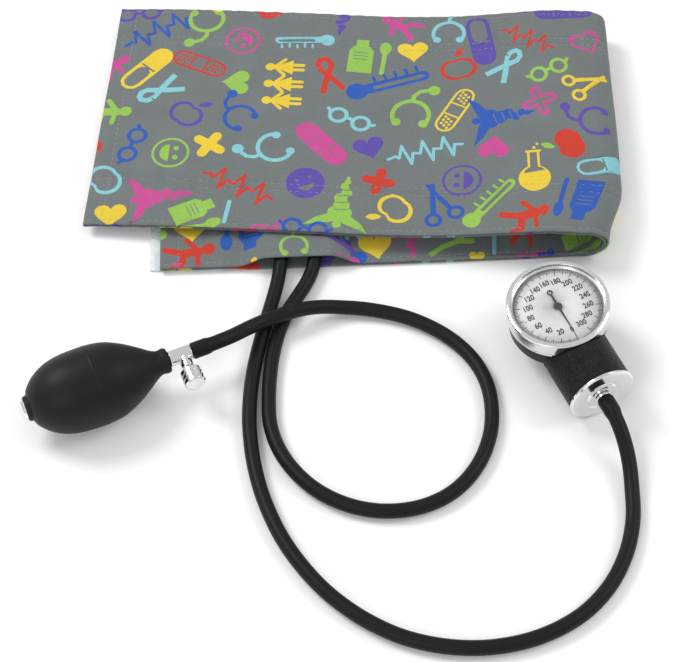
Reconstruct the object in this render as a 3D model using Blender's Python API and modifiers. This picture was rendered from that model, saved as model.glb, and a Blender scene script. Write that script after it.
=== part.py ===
"""Aneroid blood pressure monitor: folded arm cuff, two hoses, squeeze bulb and dial gauge."""
import math

import bmesh
import bpy
from mathutils import Matrix, Vector

MM = 0.001
JOIN_DISTANCE = 0.000001

# layout: moves everything so that the origin is below the middle of the box
LAYOUT_X = 7.235
LAYOUT_Y = -69.335

# cuff
PLY = 1.2
PLY_GAP = 0.3
CUFF_WIDTH = 146.0
FOLD_X = 121.5
FOLD_RADIUS = 12.5
FOLD_START_X = 116.0
LOWER_LEFT_X = -92.0
FLAP_LEFT_X = -131.0
LOWER_NEAR_Y = 34.0
LOWER_SLOPE = 0.048
FLAP_NEAR_Y = 59.0
FLAP_SLOPE = -0.0751
FLAP_WIDTH_LEAN = 0.0645
LEAN_END_X = 60.0
CORNER_PULL = 9.0
CORNER_LENGTH = 35.0
PATCH_THICK = 1.0
FLAP_TOP = ((-131.0, 7.4), (-112.0, 8.9), (-90.0, 10.2), (-60.0, 11.2), (-27.0, 12.1), (15.0, 12.9),
            (45.0, 15.4), (75.0, 20.3), (100.0, 24.0), (121.5, 25.0))
BLADDER_LEFT_X = -62.0
BLADDER_RIGHT_X = 84.0
BLADDER_MARGIN = 16.0
BLADDER_THICK = 1.4
PORT_X = (-33.3, -17.2)
PORT_Z = 4.9
PORT_RADIUS = 1.8
PORT_BORE = 1.1

# hoses
HOSE_RADIUS = 3.4
HOSE_BORE = 2.25
HOSE_BORE_DEPTH = 8.7
GAUGE_HOSE_ROUTE = (
    (-33.3, 45.8, 4.9), (-33.6, 37.0, 4.9), (-34.6, 28.0, 3.8), (-36.4, 18.7, 3.4),
    (-39.0, 6.9, 3.4), (-42.1, -7.6, 3.4), (-44.9, -24.6, 3.4), (-46.2, -41.3, 3.4),
    (-45.8, -57.6, 3.4), (-43.2, -76.2, 3.4), (-38.3, -94.3, 3.4), (-30.4, -112.6, 3.4),
    (-20.5, -128.0, 3.4), (-8.6, -141.5, 3.4), (6.4, -153.2, 3.4), (23.4, -161.7, 3.4),
    (42.4, -166.0, 3.4), (61.5, -166.0, 3.4), (80.9, -161.3, 3.4), (98.6, -151.6, 3.4),
    (111.8, -138.1, 3.4), (120.6, -122.0, 3.4), (125.2, -105.0, 3.6), (126.0, -89.2, 4.6),
    (125.2, -76.0, 8.0), (122.6, -65.4, 12.6), (119.2, -56.6, 15.5), (115.8, -49.1, 16.0))
BULB_HOSE_ROUTE = (
    (-17.2, 45.8, 4.9), (-17.2, 38.8, 4.9), (-18.6, 31.6, 4.4), (-21.4, 24.8, 3.7), (-25.2, 17.6, 3.4),
    (-30.0, 8.0, 3.4), (-34.1, -4.9, 3.4), (-36.6, -20.1, 3.4), (-37.5, -38.0, 3.4),
    (-36.4, -54.9, 3.4), (-31.4, -69.5, 3.4), (-22.5, -82.3, 3.4), (-11.2, -91.8, 3.4),
    (2.6, -98.0, 3.4), (17.8, -100.0, 3.4), (33.4, -97.2, 3.4), (47.0, -89.4, 3.4),
    (57.6, -76.4, 3.4), (63.8, -60.3, 3.4), (65.2, -44.0, 3.4), (62.6, -29.0, 3.4),
    (55.6, -15.6, 3.4), (44.2, -4.1, 3.4), (28.5, 4.9, 3.4), (11.0, 9.6, 3.7),
    (-4.8, 10.2, 5.2), (-17.2, 7.6, 8.6), (-28.8, 3.2, 10.7), (-40.0, -2.0, 11.2),
    (-47.6, -7.6, 13.2), (-54.6, -14.2, 16.4), (-62.0, -19.5, 18.5), (-72.6, -24.6, 18.8))
HOSE_STEPS = 40

# bulb
BULB_AT = (-146.2, -56.3, 18.8)
BULB_DIRECTION = (0.918, 0.395, 0.0)
BULB_LENGTH = 68.3
BULB_WALL = 2.0
BULB_PROFILE = ((4.9, 0.0), (5.8, 0.7), (6.0, 1.9), (8.8, 3.2), (12.9, 7.2), (16.3, 13.0),
                (18.2, 20.0), (18.8, 28.5), (18.6, 36.0), (17.3, 43.0), (14.2, 50.0),
                (10.2, 56.5), (6.9, 61.4), (5.7, 64.2), (6.0, 66.8), (5.5, 68.3))
END_HOLE = 4.45
NECK_HOLE = 3.3
VALVE_RADIUS = 3.75
VALVE_LENGTH = 11.4
KNOB_ALONG = 7.2
KNOB_RADIUS = 5.0
KNOB_START = 8.6
KNOB_LENGTH = 9.2
BALL_PROFILE = ((0, 1.5), (0.75, 1.3), (1.3, 0.75), (1.5, 0), (1.3, -0.75), (0.75, -1.3), (0, -1.5))

# gauge, in its own frame: dial plane at 0, neck towards -y
GAUGE_AT = (96.9, -6.7, 16.0)
GAUGE_NECK = (0.408, -0.913, 0.0)
GAUGE_ROLL = -5.0
DRUM_AXIS_Z = -13.5
DRUM_RADIUS = 15.5
DISC_RADIUS = 16.0
DISC_FACE_Y = -43.0
BEZEL_RADIUS = 24.1
CASE_RADIUS = 22.8
CASE_INNER = 21.4
CASE_FLOOR_Z = -16.0
CASE_FLOOR_THICK = 1.2
PINION_TEETH = 8
SECTOR_FULL_TEETH = 80
MODULE = 0.3
SECTOR_AT = (-4.0, 12.58)
SECTOR_SWING = 33.75
TOOTH_LIGHTENING = 0.13
PUSH_ARM = 4.0
PLATE_TOP_Z = -11.0
PLATE_THICK = 1.2
BRIDGE_Z = -3.6
BRIDGE_THICK = 0.8
ARBOR_RADIUS = 0.5
SECTOR_SHAFT_RADIUS = 0.8
SPRING_POINTS = 44
SPRING_TURNS = 3.0
SPRING_START = 0.8
SPRING_STEP = 0.9
SPRING_WIRE = 0.12
CLIP_WIDTH = 14.0

for old in list(bpy.data.objects):
    bpy.data.objects.remove(old, do_unlink=True)

parts = bpy.data.collections.new("blood_pressure_monitor")
bpy.context.scene.collection.children.link(parts)
cutters = bpy.data.collections.new("cutters")
bpy.context.scene.collection.children.link(cutters)


# materials: colour, roughness, metallic
FINISHES = {
    "fabric_print": ((0.18, 0.20, 0.20), 0.9, 0.0),
    "hook_white": ((0.85, 0.9, 0.9), 0.9, 0.0),
    "loop_grey": ((0.3, 0.32, 0.33), 0.95, 0.0),
    "bladder_rubber": ((0.09, 0.09, 0.1), 0.7, 0.0),
    "black_rubber": ((0.02, 0.02, 0.022), 0.5, 0.0),
    "chrome": ((0.85, 0.85, 0.86), 0.12, 1.0),
    "steel": ((0.6, 0.6, 0.62), 0.35, 1.0),
    "brass": ((0.72, 0.52, 0.22), 0.35, 1.0),
    "black_paint": ((0.015, 0.015, 0.016), 0.45, 0.0),
    "dial_white": ((0.88, 0.88, 0.86), 0.6, 0.0),
    "clear_lens": ((0.9, 0.95, 0.95), 0.05, 0.0),
    "black_plastic": ((0.02, 0.02, 0.02), 0.4, 0.0),
    "nylon": ((0.8, 0.8, 0.76), 0.5, 0.0),
}


def finish(name, label):
    """One material for one object."""
    colour, roughness, metallic = FINISHES[label]
    mat = bpy.data.materials.new(label + "_" + name)
    mat.use_nodes = True
    shader = mat.node_tree.nodes["Principled BSDF"]
    shader.inputs["Base Color"].default_value = (*colour, 1.0)
    shader.inputs["Roughness"].default_value = roughness
    shader.inputs["Metallic"].default_value = metallic
    return mat


def link(name, data, frame, at, label, cutter=False):
    """Put mesh or curve data in the scene at a point of a frame, in mm."""
    obj = bpy.data.objects.new(name, data)
    (cutters if cutter else parts).objects.link(obj)
    obj.matrix_world = frame @ Matrix.Translation(Vector(at) * MM)
    if cutter:
        obj.hide_render = True
        obj.display_type = "WIRE"
    else:
        data.materials.append(finish(name, label))
    return obj


def basis(x_axis, z_axis, at):
    """Frame with the given x and z directions, placed at a point in mm."""
    z = Vector(z_axis).normalized()
    x = Vector(x_axis).normalized()
    y = z.cross(x).normalized()
    x = y.cross(z)
    turn = Matrix((x, y, z)).transposed().to_4x4()
    spot = Vector((at[0] + LAYOUT_X, at[1] + LAYOUT_Y, at[2])) * MM
    return Matrix.Translation(spot) @ turn


WORLD = basis((1, 0, 0), (0, 0, 1), (0, 0, 0))
GAUGE = (basis(Vector((0, 0, 1)).cross(Vector(GAUGE_NECK)), (0, 0, 1), GAUGE_AT)
         @ Matrix.Rotation(math.radians(GAUGE_ROLL), 4, "Y")
         @ Matrix.Translation((0, 0, -DRUM_AXIS_Z * MM)))
BULB = basis((0, 0, -1), BULB_DIRECTION, BULB_AT)


def revolve(name, profile, steps, frame, at, label, turn=None, cutter=False):
    """Turn a closed profile of (radius, height) points in mm about the frame's z axis."""
    mesh = bpy.data.meshes.new(name)
    points = [(r * MM, 0.0, z * MM) for r, z in profile]
    closed = profile[0][0] > 0 or profile[-1][0] > 0
    edges = [(k, k + 1) for k in range(len(points) - 1)]
    if closed:
        edges.append((len(points) - 1, 0))
    mesh.from_pydata(points, edges, [])
    obj = link(name, mesh, frame, at, label, cutter)
    if turn is not None:
        obj.matrix_world = obj.matrix_world @ turn
    screw = obj.modifiers.new("turn", "SCREW")
    screw.axis = "Z"
    screw.steps = steps
    screw.render_steps = steps
    screw.use_merge_vertices = True
    screw.merge_threshold = 0.00001
    return obj


def tube_profile(outer, inner, top, bottom):
    """Ring with a square section."""
    return ((outer, top), (outer, bottom), (inner, bottom), (inner, top))


def rod_profile(radius, top, bottom, chamfer=0.0):
    """Solid round bar."""
    if chamfer:
        return ((0, top), (radius - chamfer, top), (radius, top - chamfer),
                (radius, bottom + chamfer), (radius - chamfer, bottom), (0, bottom))
    return ((0, top), (radius, top), (radius, bottom), (0, bottom))


def settle(name, curve):
    """Mesh of a curve, with doubled points joined and faces turned outwards."""
    holder = bpy.data.objects.new(name + "_holder", curve)
    bpy.context.scene.collection.objects.link(holder)
    bpy.context.view_layer.update()
    graph = bpy.context.evaluated_depsgraph_get()
    mesh = bpy.data.meshes.new_from_object(holder.evaluated_get(graph))
    bpy.data.objects.remove(holder, do_unlink=True)
    shape = bmesh.new()
    shape.from_mesh(mesh)
    bmesh.ops.remove_doubles(shape, verts=shape.verts, dist=JOIN_DISTANCE)
    bmesh.ops.recalc_face_normals(shape, faces=shape.faces)
    shape.to_mesh(mesh)
    shape.free()
    mesh.materials.clear()
    mesh.name = name
    return mesh


def round_line(name, points, radius, fineness):
    """Round bar that follows points in metres; radius in mm."""
    curve = bpy.data.curves.new(name + "_line", "CURVE")
    curve.dimensions = "3D"
    curve.bevel_depth = radius * MM
    curve.bevel_resolution = fineness
    curve.use_fill_caps = True
    curve.render_resolution_u = 0
    spline = curve.splines.new("POLY")
    spline.points.add(len(points) - 1)
    for point, spot in zip(spline.points, points):
        point.co = (*spot, 1.0)
    return settle(name, curve)


def prism(name, outlines, thick, frame, at, label, turn=None, cutter=False):
    """Flat plate from 2D outlines in mm; the first is the edge, the rest are holes."""
    curve = bpy.data.curves.new(name + "_outline", "CURVE")
    curve.dimensions = "2D"
    curve.fill_mode = "BOTH"
    curve.extrude = thick / 2 * MM
    curve.render_resolution_u = 0
    for outline in outlines:
        spline = curve.splines.new("POLY")
        spline.points.add(len(outline) - 1)
        for point, (x, y) in zip(spline.points, outline):
            point.co = (x * MM, y * MM, 0.0, 1.0)
        spline.use_cyclic_u = True
    mesh = settle(name, curve)
    obj = link(name, mesh, frame, at, label, cutter)
    if turn is not None:
        obj.matrix_world = obj.matrix_world @ turn
    return obj


def circle(radius, count, cx=0.0, cy=0.0, start=0.0):
    """Round outline in mm."""
    return [(cx + radius * math.cos(start + math.tau * k / count),
             cy + radius * math.sin(start + math.tau * k / count)) for k in range(count)]


def combine(obj, tool, how):
    """Boolean with an exact solver."""
    step = obj.modifiers.new(how.lower() + "_" + tool.name, "BOOLEAN")
    step.operation = how
    step.solver = "EXACT"
    step.object = tool
    return obj


def smooth(t):
    """Ease from 0 to 1."""
    t = min(max(t, 0.0), 1.0)
    return t * t * (3.0 - 2.0 * t)


def read_curve(table, x):
    """Smooth height from a table of (x, height) points."""
    k = 0
    while k < len(table) - 2 and x > table[k + 1][0]:
        k += 1
    (x0, z0), (x1, z1) = table[k], table[k + 1]
    before = table[k - 1] if k else (x0 - (x1 - x0), z0)
    after = table[k + 2] if k + 2 < len(table) else (x1 + (x1 - x0), z1)
    slope0 = (z1 - before[1]) / (x1 - before[0])
    slope1 = (after[1] - z0) / (after[0] - x0)
    t = min(max((x - x0) / (x1 - x0), 0.0), 1.0)
    width = x1 - x0
    return ((1 + 2 * t) * (1 - t) ** 2 * z0 + t * (1 - t) ** 2 * width * slope0
            + t * t * (3 - 2 * t) * z1 + t * t * (t - 1) * width * slope1)


def cloth_point(x, z, across, side):
    """Point of the cuff: x and z along the folded length, across the width; side 0 lower, 1 flap."""
    spread = 1.0 - smooth((x - LEAN_END_X) / (FOLD_X - LEAN_END_X))
    lean_low = -LOWER_SLOPE * spread
    lean_flap = FLAP_WIDTH_LEAN * spread
    near_low = LOWER_NEAR_Y + LOWER_SLOPE * (min(x, FOLD_X) - LOWER_LEFT_X)
    near_flap = FLAP_NEAR_Y + FLAP_SLOPE * (min(x, FOLD_X) - FLAP_LEFT_X)
    lean = lean_low * (1 - side) + lean_flap * side
    near = near_low * (1 - side) + near_flap * side
    pull = CORNER_PULL * (1 - smooth(across / CORNER_LENGTH)) * smooth((x - 85.0) / 33.0)
    return Vector((x - pull + lean * across, near + across * math.sqrt(1 - lean * lean), z))


def lofted_ply(name, columns, rows, thick, label, lift=None):
    """Sheet lofted between the cross-sections of a flat far edge and a shaped near edge."""
    mesh = bpy.data.meshes.new(name)
    points = []
    for across in rows:
        for x, z, side in columns:
            spot = cloth_point(x, z, across, side)
            if lift:
                spot.z += lift(x, across)
            points.append(spot * MM)
    wide = len(columns)
    faces = [(r * wide + c, r * wide + c + 1, (r + 1) * wide + c + 1, (r + 1) * wide + c)
             for r in range(len(rows) - 1) for c in range(wide - 1)]
    mesh.from_pydata(points, [], faces)
    obj = link(name, mesh, WORLD, (0, 0, 0), label)
    solid = obj.modifiers.new("thickness", "SOLIDIFY")
    solid.thickness = thick * MM
    solid.offset = 0.0
    solid.use_even_offset = True
    solid.use_rim = True
    return obj


def spaced(start, end, count):
    """Even steps from start to end."""
    return [start + (end - start) * k / (count - 1) for k in range(count)]


EDGE_ROWS = (0.0, 8.0, 17.0, 26.0, 35.0, 90.0, CUFF_WIDTH)
MOUTH_ROWS = (0.0, 8.0, 12.5, 17.0, 26.0, 31.0, 35.0, 43.0, 90.0, 130.0, CUFF_WIDTH)
SKIN_STEP = PLY + PLY_GAP
PATCH_RISE = PATCH_THICK + PLY_GAP


def outer_low_z(x):
    """Middle height of the lower outer skin, raised over the hook patch."""
    return PLY / 2 + PATCH_RISE * (1 - smooth((x + 60.0) / 14.0))


def bladder_room(x, across):
    """How far the two lower skins stand apart over the bladder."""
    along = smooth((x - BLADDER_LEFT_X + 12) / 12) * smooth((BLADDER_RIGHT_X + 14 - x) / 14)
    over = smooth((across - 6) / 10) * smooth((CUFF_WIDTH - 4 - across) / 12)
    return (BLADDER_THICK + PLY_GAP) * along * over


def mouth_room(x, across):
    """Arch of the upper skin over the two hoses and the bladder's ports."""
    along = smooth((x + 56.0) / 16.0) * smooth((6.0 - x) / 16.0)
    high = 7.3 - 1.5 * smooth((across - 9.5) / 5.0) - 4.1 * smooth((across - 31.0) / 13.0)
    return max(high, 0.0) * along * (1 - smooth((across - 31.0) / 15.0))


def inner_low_lift(x, across):
    """Extra height of the lower inner skin."""
    return max(bladder_room(x, across), mouth_room(x, across))


# cuff, lower layer
low_x = [-92.0, -76.0, -61.0, -57.0, -53.0, -49.0, -45.0, 0.0, 40.0, 60.0, 85.0, 100.0, FOLD_START_X]
lofted_ply("cuff_lower_outer", [(x, outer_low_z(x), 0.0) for x in low_x], EDGE_ROWS, PLY,
           "fabric_print")
inner_x = ([-92.0, -76.0, -68.0, -61.0, -57.0] + spaced(-53.0, 7.0, 16)
           + [30.0, 60.0, 84.0, 92.0, 100.0, 108.0, FOLD_START_X])
lofted_ply("cuff_lower_inner", [(x, outer_low_z(x) + SKIN_STEP, 0.0) for x in inner_x], MOUTH_ROWS,
           PLY, "fabric_print", inner_low_lift)

# cuff, fold
fold_angles = spaced(-90.0, 90.0, 9)


def fold_columns(radius):
    """Half round of the fold with its two short straight runs."""
    low = FOLD_RADIUS - radius
    high = FOLD_RADIUS + radius
    start = FOLD_START_X + 0.4
    top_drop = 2 * FOLD_RADIUS - read_curve(FLAP_TOP, start)
    run = [(start, low, 0.0)]
    for angle in fold_angles:
        turn = math.radians(angle)
        run.append((FOLD_X + radius * math.cos(turn), FOLD_RADIUS + radius * math.sin(turn),
                    smooth((angle + 90.0) / 180.0)))
    run.append((start, high - top_drop, 1.0))
    return run


OUTER_FOLD = FOLD_RADIUS - PLY / 2
lofted_ply("cuff_fold_outer", fold_columns(OUTER_FOLD), EDGE_ROWS, PLY, "fabric_print")
lofted_ply("cuff_fold_inner", fold_columns(OUTER_FOLD - SKIN_STEP), EDGE_ROWS, PLY, "fabric_print")

# cuff, flap
flap_x = [FOLD_START_X, 106.0, 92.0, 78.0, 64.0, 50.0, 36.0, 20.0, 0.0,
          -27.0, -60.0, -90.0, -112.0, -131.0]
lofted_ply("cuff_flap_outer", [(x, read_curve(FLAP_TOP, x) - PLY / 2, 1.0) for x in flap_x],
           EDGE_ROWS, PLY, "fabric_print")
lofted_ply("cuff_flap_inner", [(x, read_curve(FLAP_TOP, x) - PLY / 2 - SKIN_STEP, 1.0) for x in flap_x],
           EDGE_ROWS, PLY, "fabric_print")
patch_rows = (4.0, 17.0, 35.0, 90.0, CUFF_WIDTH - 4.0)
flap_under = SKIN_STEP + PLY + PLY_GAP + PATCH_THICK / 2
loop_x = (-60.0, -75.0, -90.0, -112.0, -122.0)
lofted_ply("loop_patch", [(x, read_curve(FLAP_TOP, x) - flap_under, 1.0) for x in loop_x], patch_rows,
           PATCH_THICK, "loop_grey")
lofted_ply("hook_patch", [(x, PATCH_THICK / 2, 0.0) for x in (-97.0, -80.0, -62.5)],
           (1.5, 70.0, CUFF_WIDTH - 1.5), PATCH_THICK, "hook_white")

# bladder: flat pouch with two ports
bladder_rows = (BLADDER_MARGIN, 50.0, 90.0, CUFF_WIDTH - BLADDER_MARGIN)
bladder_x = [BLADDER_LEFT_X, -57.0, -53.0, -49.0, -45.0, 30.0, BLADDER_RIGHT_X]
bladder = lofted_ply(
    "bladder",
    [(x, outer_low_z(x) + PLY / 2 + PLY_GAP + BLADDER_THICK / 2, 0.0) for x in bladder_x],
    bladder_rows, BLADDER_THICK, "bladder_rubber")
for index, port_x in enumerate(PORT_X):
    near = LOWER_NEAR_Y + LOWER_SLOPE * (port_x - LOWER_LEFT_X)
    hub_mesh = bpy.data.meshes.new("port_hub_" + str(index))
    ball = bmesh.new()
    bmesh.ops.create_uvsphere(ball, u_segments=14, v_segments=8, radius=MM)
    bmesh.ops.scale(ball, vec=(5.5, 6.0, 2.5), verts=ball.verts)
    ball.to_mesh(hub_mesh)
    ball.free()
    hub = link("port_hub_" + str(index), hub_mesh, WORLD, (port_x, near + 23.5, 4.35), "", True)
    flat = Matrix.Rotation(math.radians(-90.0), 4, "X")
    spout = revolve("port_spout_" + str(index), rod_profile(PORT_RADIUS, 2.0, -18.0), 12, WORLD,
                    (port_x, near + 22.0, PORT_Z), "", flat, True)
    bore = revolve("port_bore_" + str(index), rod_profile(PORT_BORE, -8.0, -20.0), 10, WORLD,
                   (port_x, near + 22.0, PORT_Z), "", flat, True)
    combine(bladder, hub, "UNION")
    combine(bladder, spout, "UNION")
    combine(bladder, bore, "DIFFERENCE")


def smooth_route(points, count):
    """Evenly spaced points on a smooth curve through the route points."""
    pts = [Vector(p) for p in points]
    pts = [pts[0] * 2 - pts[1]] + pts + [pts[-1] * 2 - pts[-2]]
    fine = []
    for k in range(1, len(pts) - 2):
        a, b, c, d = pts[k - 1:k + 3]
        for j in range(12):
            t = j / 12
            fine.append(0.5 * (2 * b + (c - a) * t + (2 * a - 5 * b + 4 * c - d) * t * t
                               + (3 * b - a - 3 * c + d) * t ** 3))
    fine.append(pts[-2])
    run = [0.0]
    for p, q in zip(fine, fine[1:]):
        run.append(run[-1] + (q - p).length)
    out = []
    k = 0
    for j in range(count):
        want = run[-1] * j / (count - 1)
        while k < len(run) - 2 and run[k + 1] < want:
            k += 1
        part = (want - run[k]) / (run[k + 1] - run[k])
        out.append(fine[k].lerp(fine[k + 1], part))
    return out, run[-1]


def hose(name, route, leaving):
    """Round rubber hose with a socket in each end; leaving is the direction away from its last end."""
    points, length = smooth_route(route, HOSE_STEPS)
    shift = Vector((LAYOUT_X, LAYOUT_Y, 0))
    mesh = round_line(name, [(spot + shift) * MM for spot in points], HOSE_RADIUS, 3)
    obj = link(name, mesh, Matrix.Identity(4), (0, 0, 0), "black_rubber")
    for end, (spot, along) in enumerate(((points[0], points[1] - points[0]), (points[-1], leaving))):
        frame = basis((0, 0, 1), along, spot)
        socket = revolve(name + "_socket_" + str(end), rod_profile(HOSE_BORE, HOSE_BORE_DEPTH, -2.0),
                         12, frame, (0, 0, 0), "", None, True)
        combine(obj, socket, "DIFFERENCE")
    return length


gauge_hose_length = hose("gauge_hose", GAUGE_HOSE_ROUTE, Vector(GAUGE_NECK))
bulb_hose_length = hose("bulb_hose", BULB_HOSE_ROUTE, Vector(BULB_DIRECTION))
print("hose lengths mm", round(gauge_hose_length, 1), round(bulb_hose_length, 1))


# bulb: z runs from the end valve to the neck
def bulb_section():
    """Outer side from neck to lip, then back up the inner side."""
    outer = [(r, z) for r, z in reversed(BULB_PROFILE)]
    inner = [(END_HOLE, 0.0), (END_HOLE, 2.6)]
    inner += [(r - BULB_WALL, z) for r, z in BULB_PROFILE[3:12]]
    inner += [(NECK_HOLE, 61.0), (NECK_HOLE, BULB_LENGTH)]
    return outer + inner


revolve("squeeze_bulb", bulb_section(), 26, BULB, (0, 0, 0), "black_rubber")
revolve("end_valve_body",
        ((3.4, 9.0), (3.4, 3.4), (4.15, 2.8), (4.15, -0.6), (3.5, -1.0), (1.6, -1.0), (1.3, -0.5),
         (0.9, -0.4), (0.9, 1.4), (1.9, 2.2), (1.9, 9.0)), 18, BULB, (0, 0, 0), "chrome")
revolve("inlet_ball", BALL_PROFILE, 12, BULB, (0, 0, 3.95), "steel")
revolve("inlet_retainer", tube_profile(1.8, 0.7, 8.2, 6.6), 12, BULB, (0, 0, 0), "brass")

# release valve, z from the bulb's neck rim outwards
RIM = BULB @ Matrix.Translation((0, 0, BULB_LENGTH * MM))
valve = revolve("release_valve_body",
                ((1.7, 19.6), (1.95, 18.2), (1.65, 17.6), (1.75, VALVE_LENGTH), (3.4, VALVE_LENGTH),
                 (VALVE_RADIUS, VALVE_LENGTH - 0.4), (VALVE_RADIUS, 0.7), (3.4, 0.3), (3.05, 0.3),
                 (3.05, -9.0), (1.9, -9.0), (1.9, -3.6), (0.9, -2.6), (0.9, 19.6)),
                20, RIM, (0, 0, 0), "chrome")
KNOB = (basis(Vector(BULB_DIRECTION).cross(Vector((0, 0, 1))), (0, 0, 1), BULB_AT)
        @ Matrix.Rotation(math.radians(90.0), 4, "Y"))
KNOB.translation = (RIM @ Matrix.Translation((0, 0, KNOB_ALONG * MM))).translation
boss = revolve("valve_boss", rod_profile(2.9, 7.6, 2.0, 0.4), 16, KNOB, (0, 0, 0), "", None, True)
screw_hole = revolve("valve_screw_hole", rod_profile(1.5, 9.0, 1.0), 14, KNOB, (0, 0, 0), "", None, True)
bleed_side = revolve("valve_bleed_hole", rod_profile(0.5, 4.0, 0.0), 8,
                     KNOB @ Matrix.Translation((0, 0, 4.9 * MM))
                     @ Matrix.Rotation(math.radians(90.0), 4, "Y"),
                     (0, 0, 0), "", None, True)
combine(valve, boss, "UNION")
combine(valve, screw_hole, "DIFFERENCE")
combine(valve, bleed_side, "DIFFERENCE")
revolve("outlet_ball", BALL_PROFILE, 12, RIM, (0, 0, -6.4), "steel")
revolve("outlet_retainer", tube_profile(1.8, 0.7, -8.1, -8.9), 12, RIM, (0, 0, 0), "brass")
revolve("seal_pad", rod_profile(1.3, 2.5, 1.2, 0.25), 12, KNOB, (0, 0, 0), "nylon")
revolve("release_screw", rod_profile(1.35, KNOB_START + 5.6, 2.65, 0.2), 12, KNOB, (0, 0, 0), "steel")
knob_end = KNOB_START + KNOB_LENGTH
revolve("thumb_knob",
        ((0, knob_end), (4.3, knob_end), (KNOB_RADIUS, knob_end - 0.7), (KNOB_RADIUS, knob_end - 2.4),
         (4.6, knob_end - 2.6), (4.6, knob_end - 3.0), (KNOB_RADIUS, knob_end - 3.2),
         (KNOB_RADIUS, knob_end - 4.7), (4.6, knob_end - 4.9), (4.6, knob_end - 5.3),
         (KNOB_RADIUS, knob_end - 5.5), (KNOB_RADIUS, KNOB_START + 1.6), (3.6, KNOB_START),
         (1.55, KNOB_START), (1.55, KNOB_START + 5.9), (0, KNOB_START + 5.9)),
        24, KNOB, (0, 0, 0), "chrome")

# gauge: case, rings and lens
revolve("gauge_case",
        ((CASE_RADIUS, -0.9), (CASE_RADIUS, -13.6), (CASE_RADIUS - 0.6, -15.2),
         (CASE_RADIUS - 2.2, CASE_FLOOR_Z),
         (1.4, CASE_FLOOR_Z), (1.4, CASE_FLOOR_Z + CASE_FLOOR_THICK),
         (CASE_INNER - 1.6, CASE_FLOOR_Z + CASE_FLOOR_THICK), (CASE_INNER, -13.2), (CASE_INNER, -2.8),
         (20.4, -2.4), (20.4, -0.9)), 36, GAUGE, (0, 0, 0), "black_paint")
case = parts.objects["gauge_case"]
toward_neck = Matrix.Rotation(math.radians(90.0), 4, "X")
rod_hole = revolve("case_rod_hole", rod_profile(1.0, 26.0, 18.0), 10, GAUGE, (0, 0, DRUM_AXIS_Z), "",
                   toward_neck, True)
combine(case, rod_hole, "DIFFERENCE")
revolve("case_plug", ((0, -14.2), (1.9, -14.2), (1.9, -14.65), (1.2, -14.65), (1.2, -16.3), (2.2, -16.3),
                      (2.2, -16.8), (0, -16.8)), 14, GAUGE, (0, 0, 0), "black_plastic")
revolve("bezel_ring",
        ((21.8, 3.3), (22.9, 3.5), (23.7, 3.2), (BEZEL_RADIUS, 2.5), (BEZEL_RADIUS, -3.4), (23.8, -3.7),
         (23.1, -3.7), (23.1, 2.5), (21.8, 2.8)), 40, GAUGE, (0, 0, 0), "chrome")
revolve("case_band", ((23.6, -4.0), (23.75, -4.3), (23.75, -5.4), (23.5, -5.8), (23.1, -5.8), (23.1, -4.0)),
        36, GAUGE, (0, 0, 0), "chrome")
revolve("crystal", ((0, 2.5), (16.0, 2.45), (22.7, 2.2), (22.7, 1.4), (0, 1.4)), 32, GAUGE, (0, 0, 0),
        "clear_lens")
revolve("lens_seat", ((21.9, 1.1), (22.7, 1.1), (22.7, 0.3), (20.9, 0.3), (20.9, 0.6)), 36, GAUGE,
        (0, 0, 0), "dial_white")
prism("dial_plate", [circle(22.4, 40), circle(1.1, 12), circle(0.75, 8, -17.0, 0.0),
                     circle(0.75, 8, 17.0, 0.0)], 0.5, GAUGE, (0, 0, -0.3), "dial_white")

# gauge: movement
PLATE_MID = PLATE_TOP_Z - PLATE_THICK / 2
post_spots = ((12.5, -7.5), (-12.5, -7.5), (11.0, 9.5))
plate_holes = [circle(0.65, 10), circle(1.0, 10, *SECTOR_AT)]
prism("bottom_plate", [circle(16.6, 32)] + plate_holes, PLATE_THICK, GAUGE, (0, 0, PLATE_MID), "brass")
prism("bridge_plate",
      [[(-8.5, 11.2), (-8.5, 14.8), (-3.0, 15.6), (14.0, 12.0), (14.0, 7.0), (3.0, 2.6), (15.0, -5.6),
        (15.0, -9.6), (10.6, -9.6), (0.0, -3.0), (-10.6, -9.6), (-15.0, -9.6), (-15.0, -5.6),
        (-3.0, 2.6)], circle(0.65, 10), circle(1.0, 10, *SECTOR_AT)],
      BRIDGE_THICK, GAUGE, (0, 0, BRIDGE_Z), "brass")
for index, (px, py) in enumerate(post_spots):
    revolve("movement_post_" + str(index + 1),
            rod_profile(1.5, PLATE_TOP_Z - PLATE_THICK - 0.1, CASE_FLOOR_Z + CASE_FLOOR_THICK + 0.1), 10,
            GAUGE, (px, py, 0), "brass")
    revolve("pillar_" + str(index + 1),
            rod_profile(1.2, BRIDGE_Z - BRIDGE_THICK / 2 - 0.1, PLATE_TOP_Z + 0.1), 10, GAUGE,
            (px, py, 0), "brass")
for index, px in enumerate((-17.0, 17.0)):
    revolve("dial_screw_" + str(index + 1),
            ((0, 0.35), (0.9, 0.3), (1.1, 0.05), (0.6, 0.05), (0.6, -1.8), (0, -1.8)), 10, GAUGE,
            (px, 0, 0), "steel")


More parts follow.
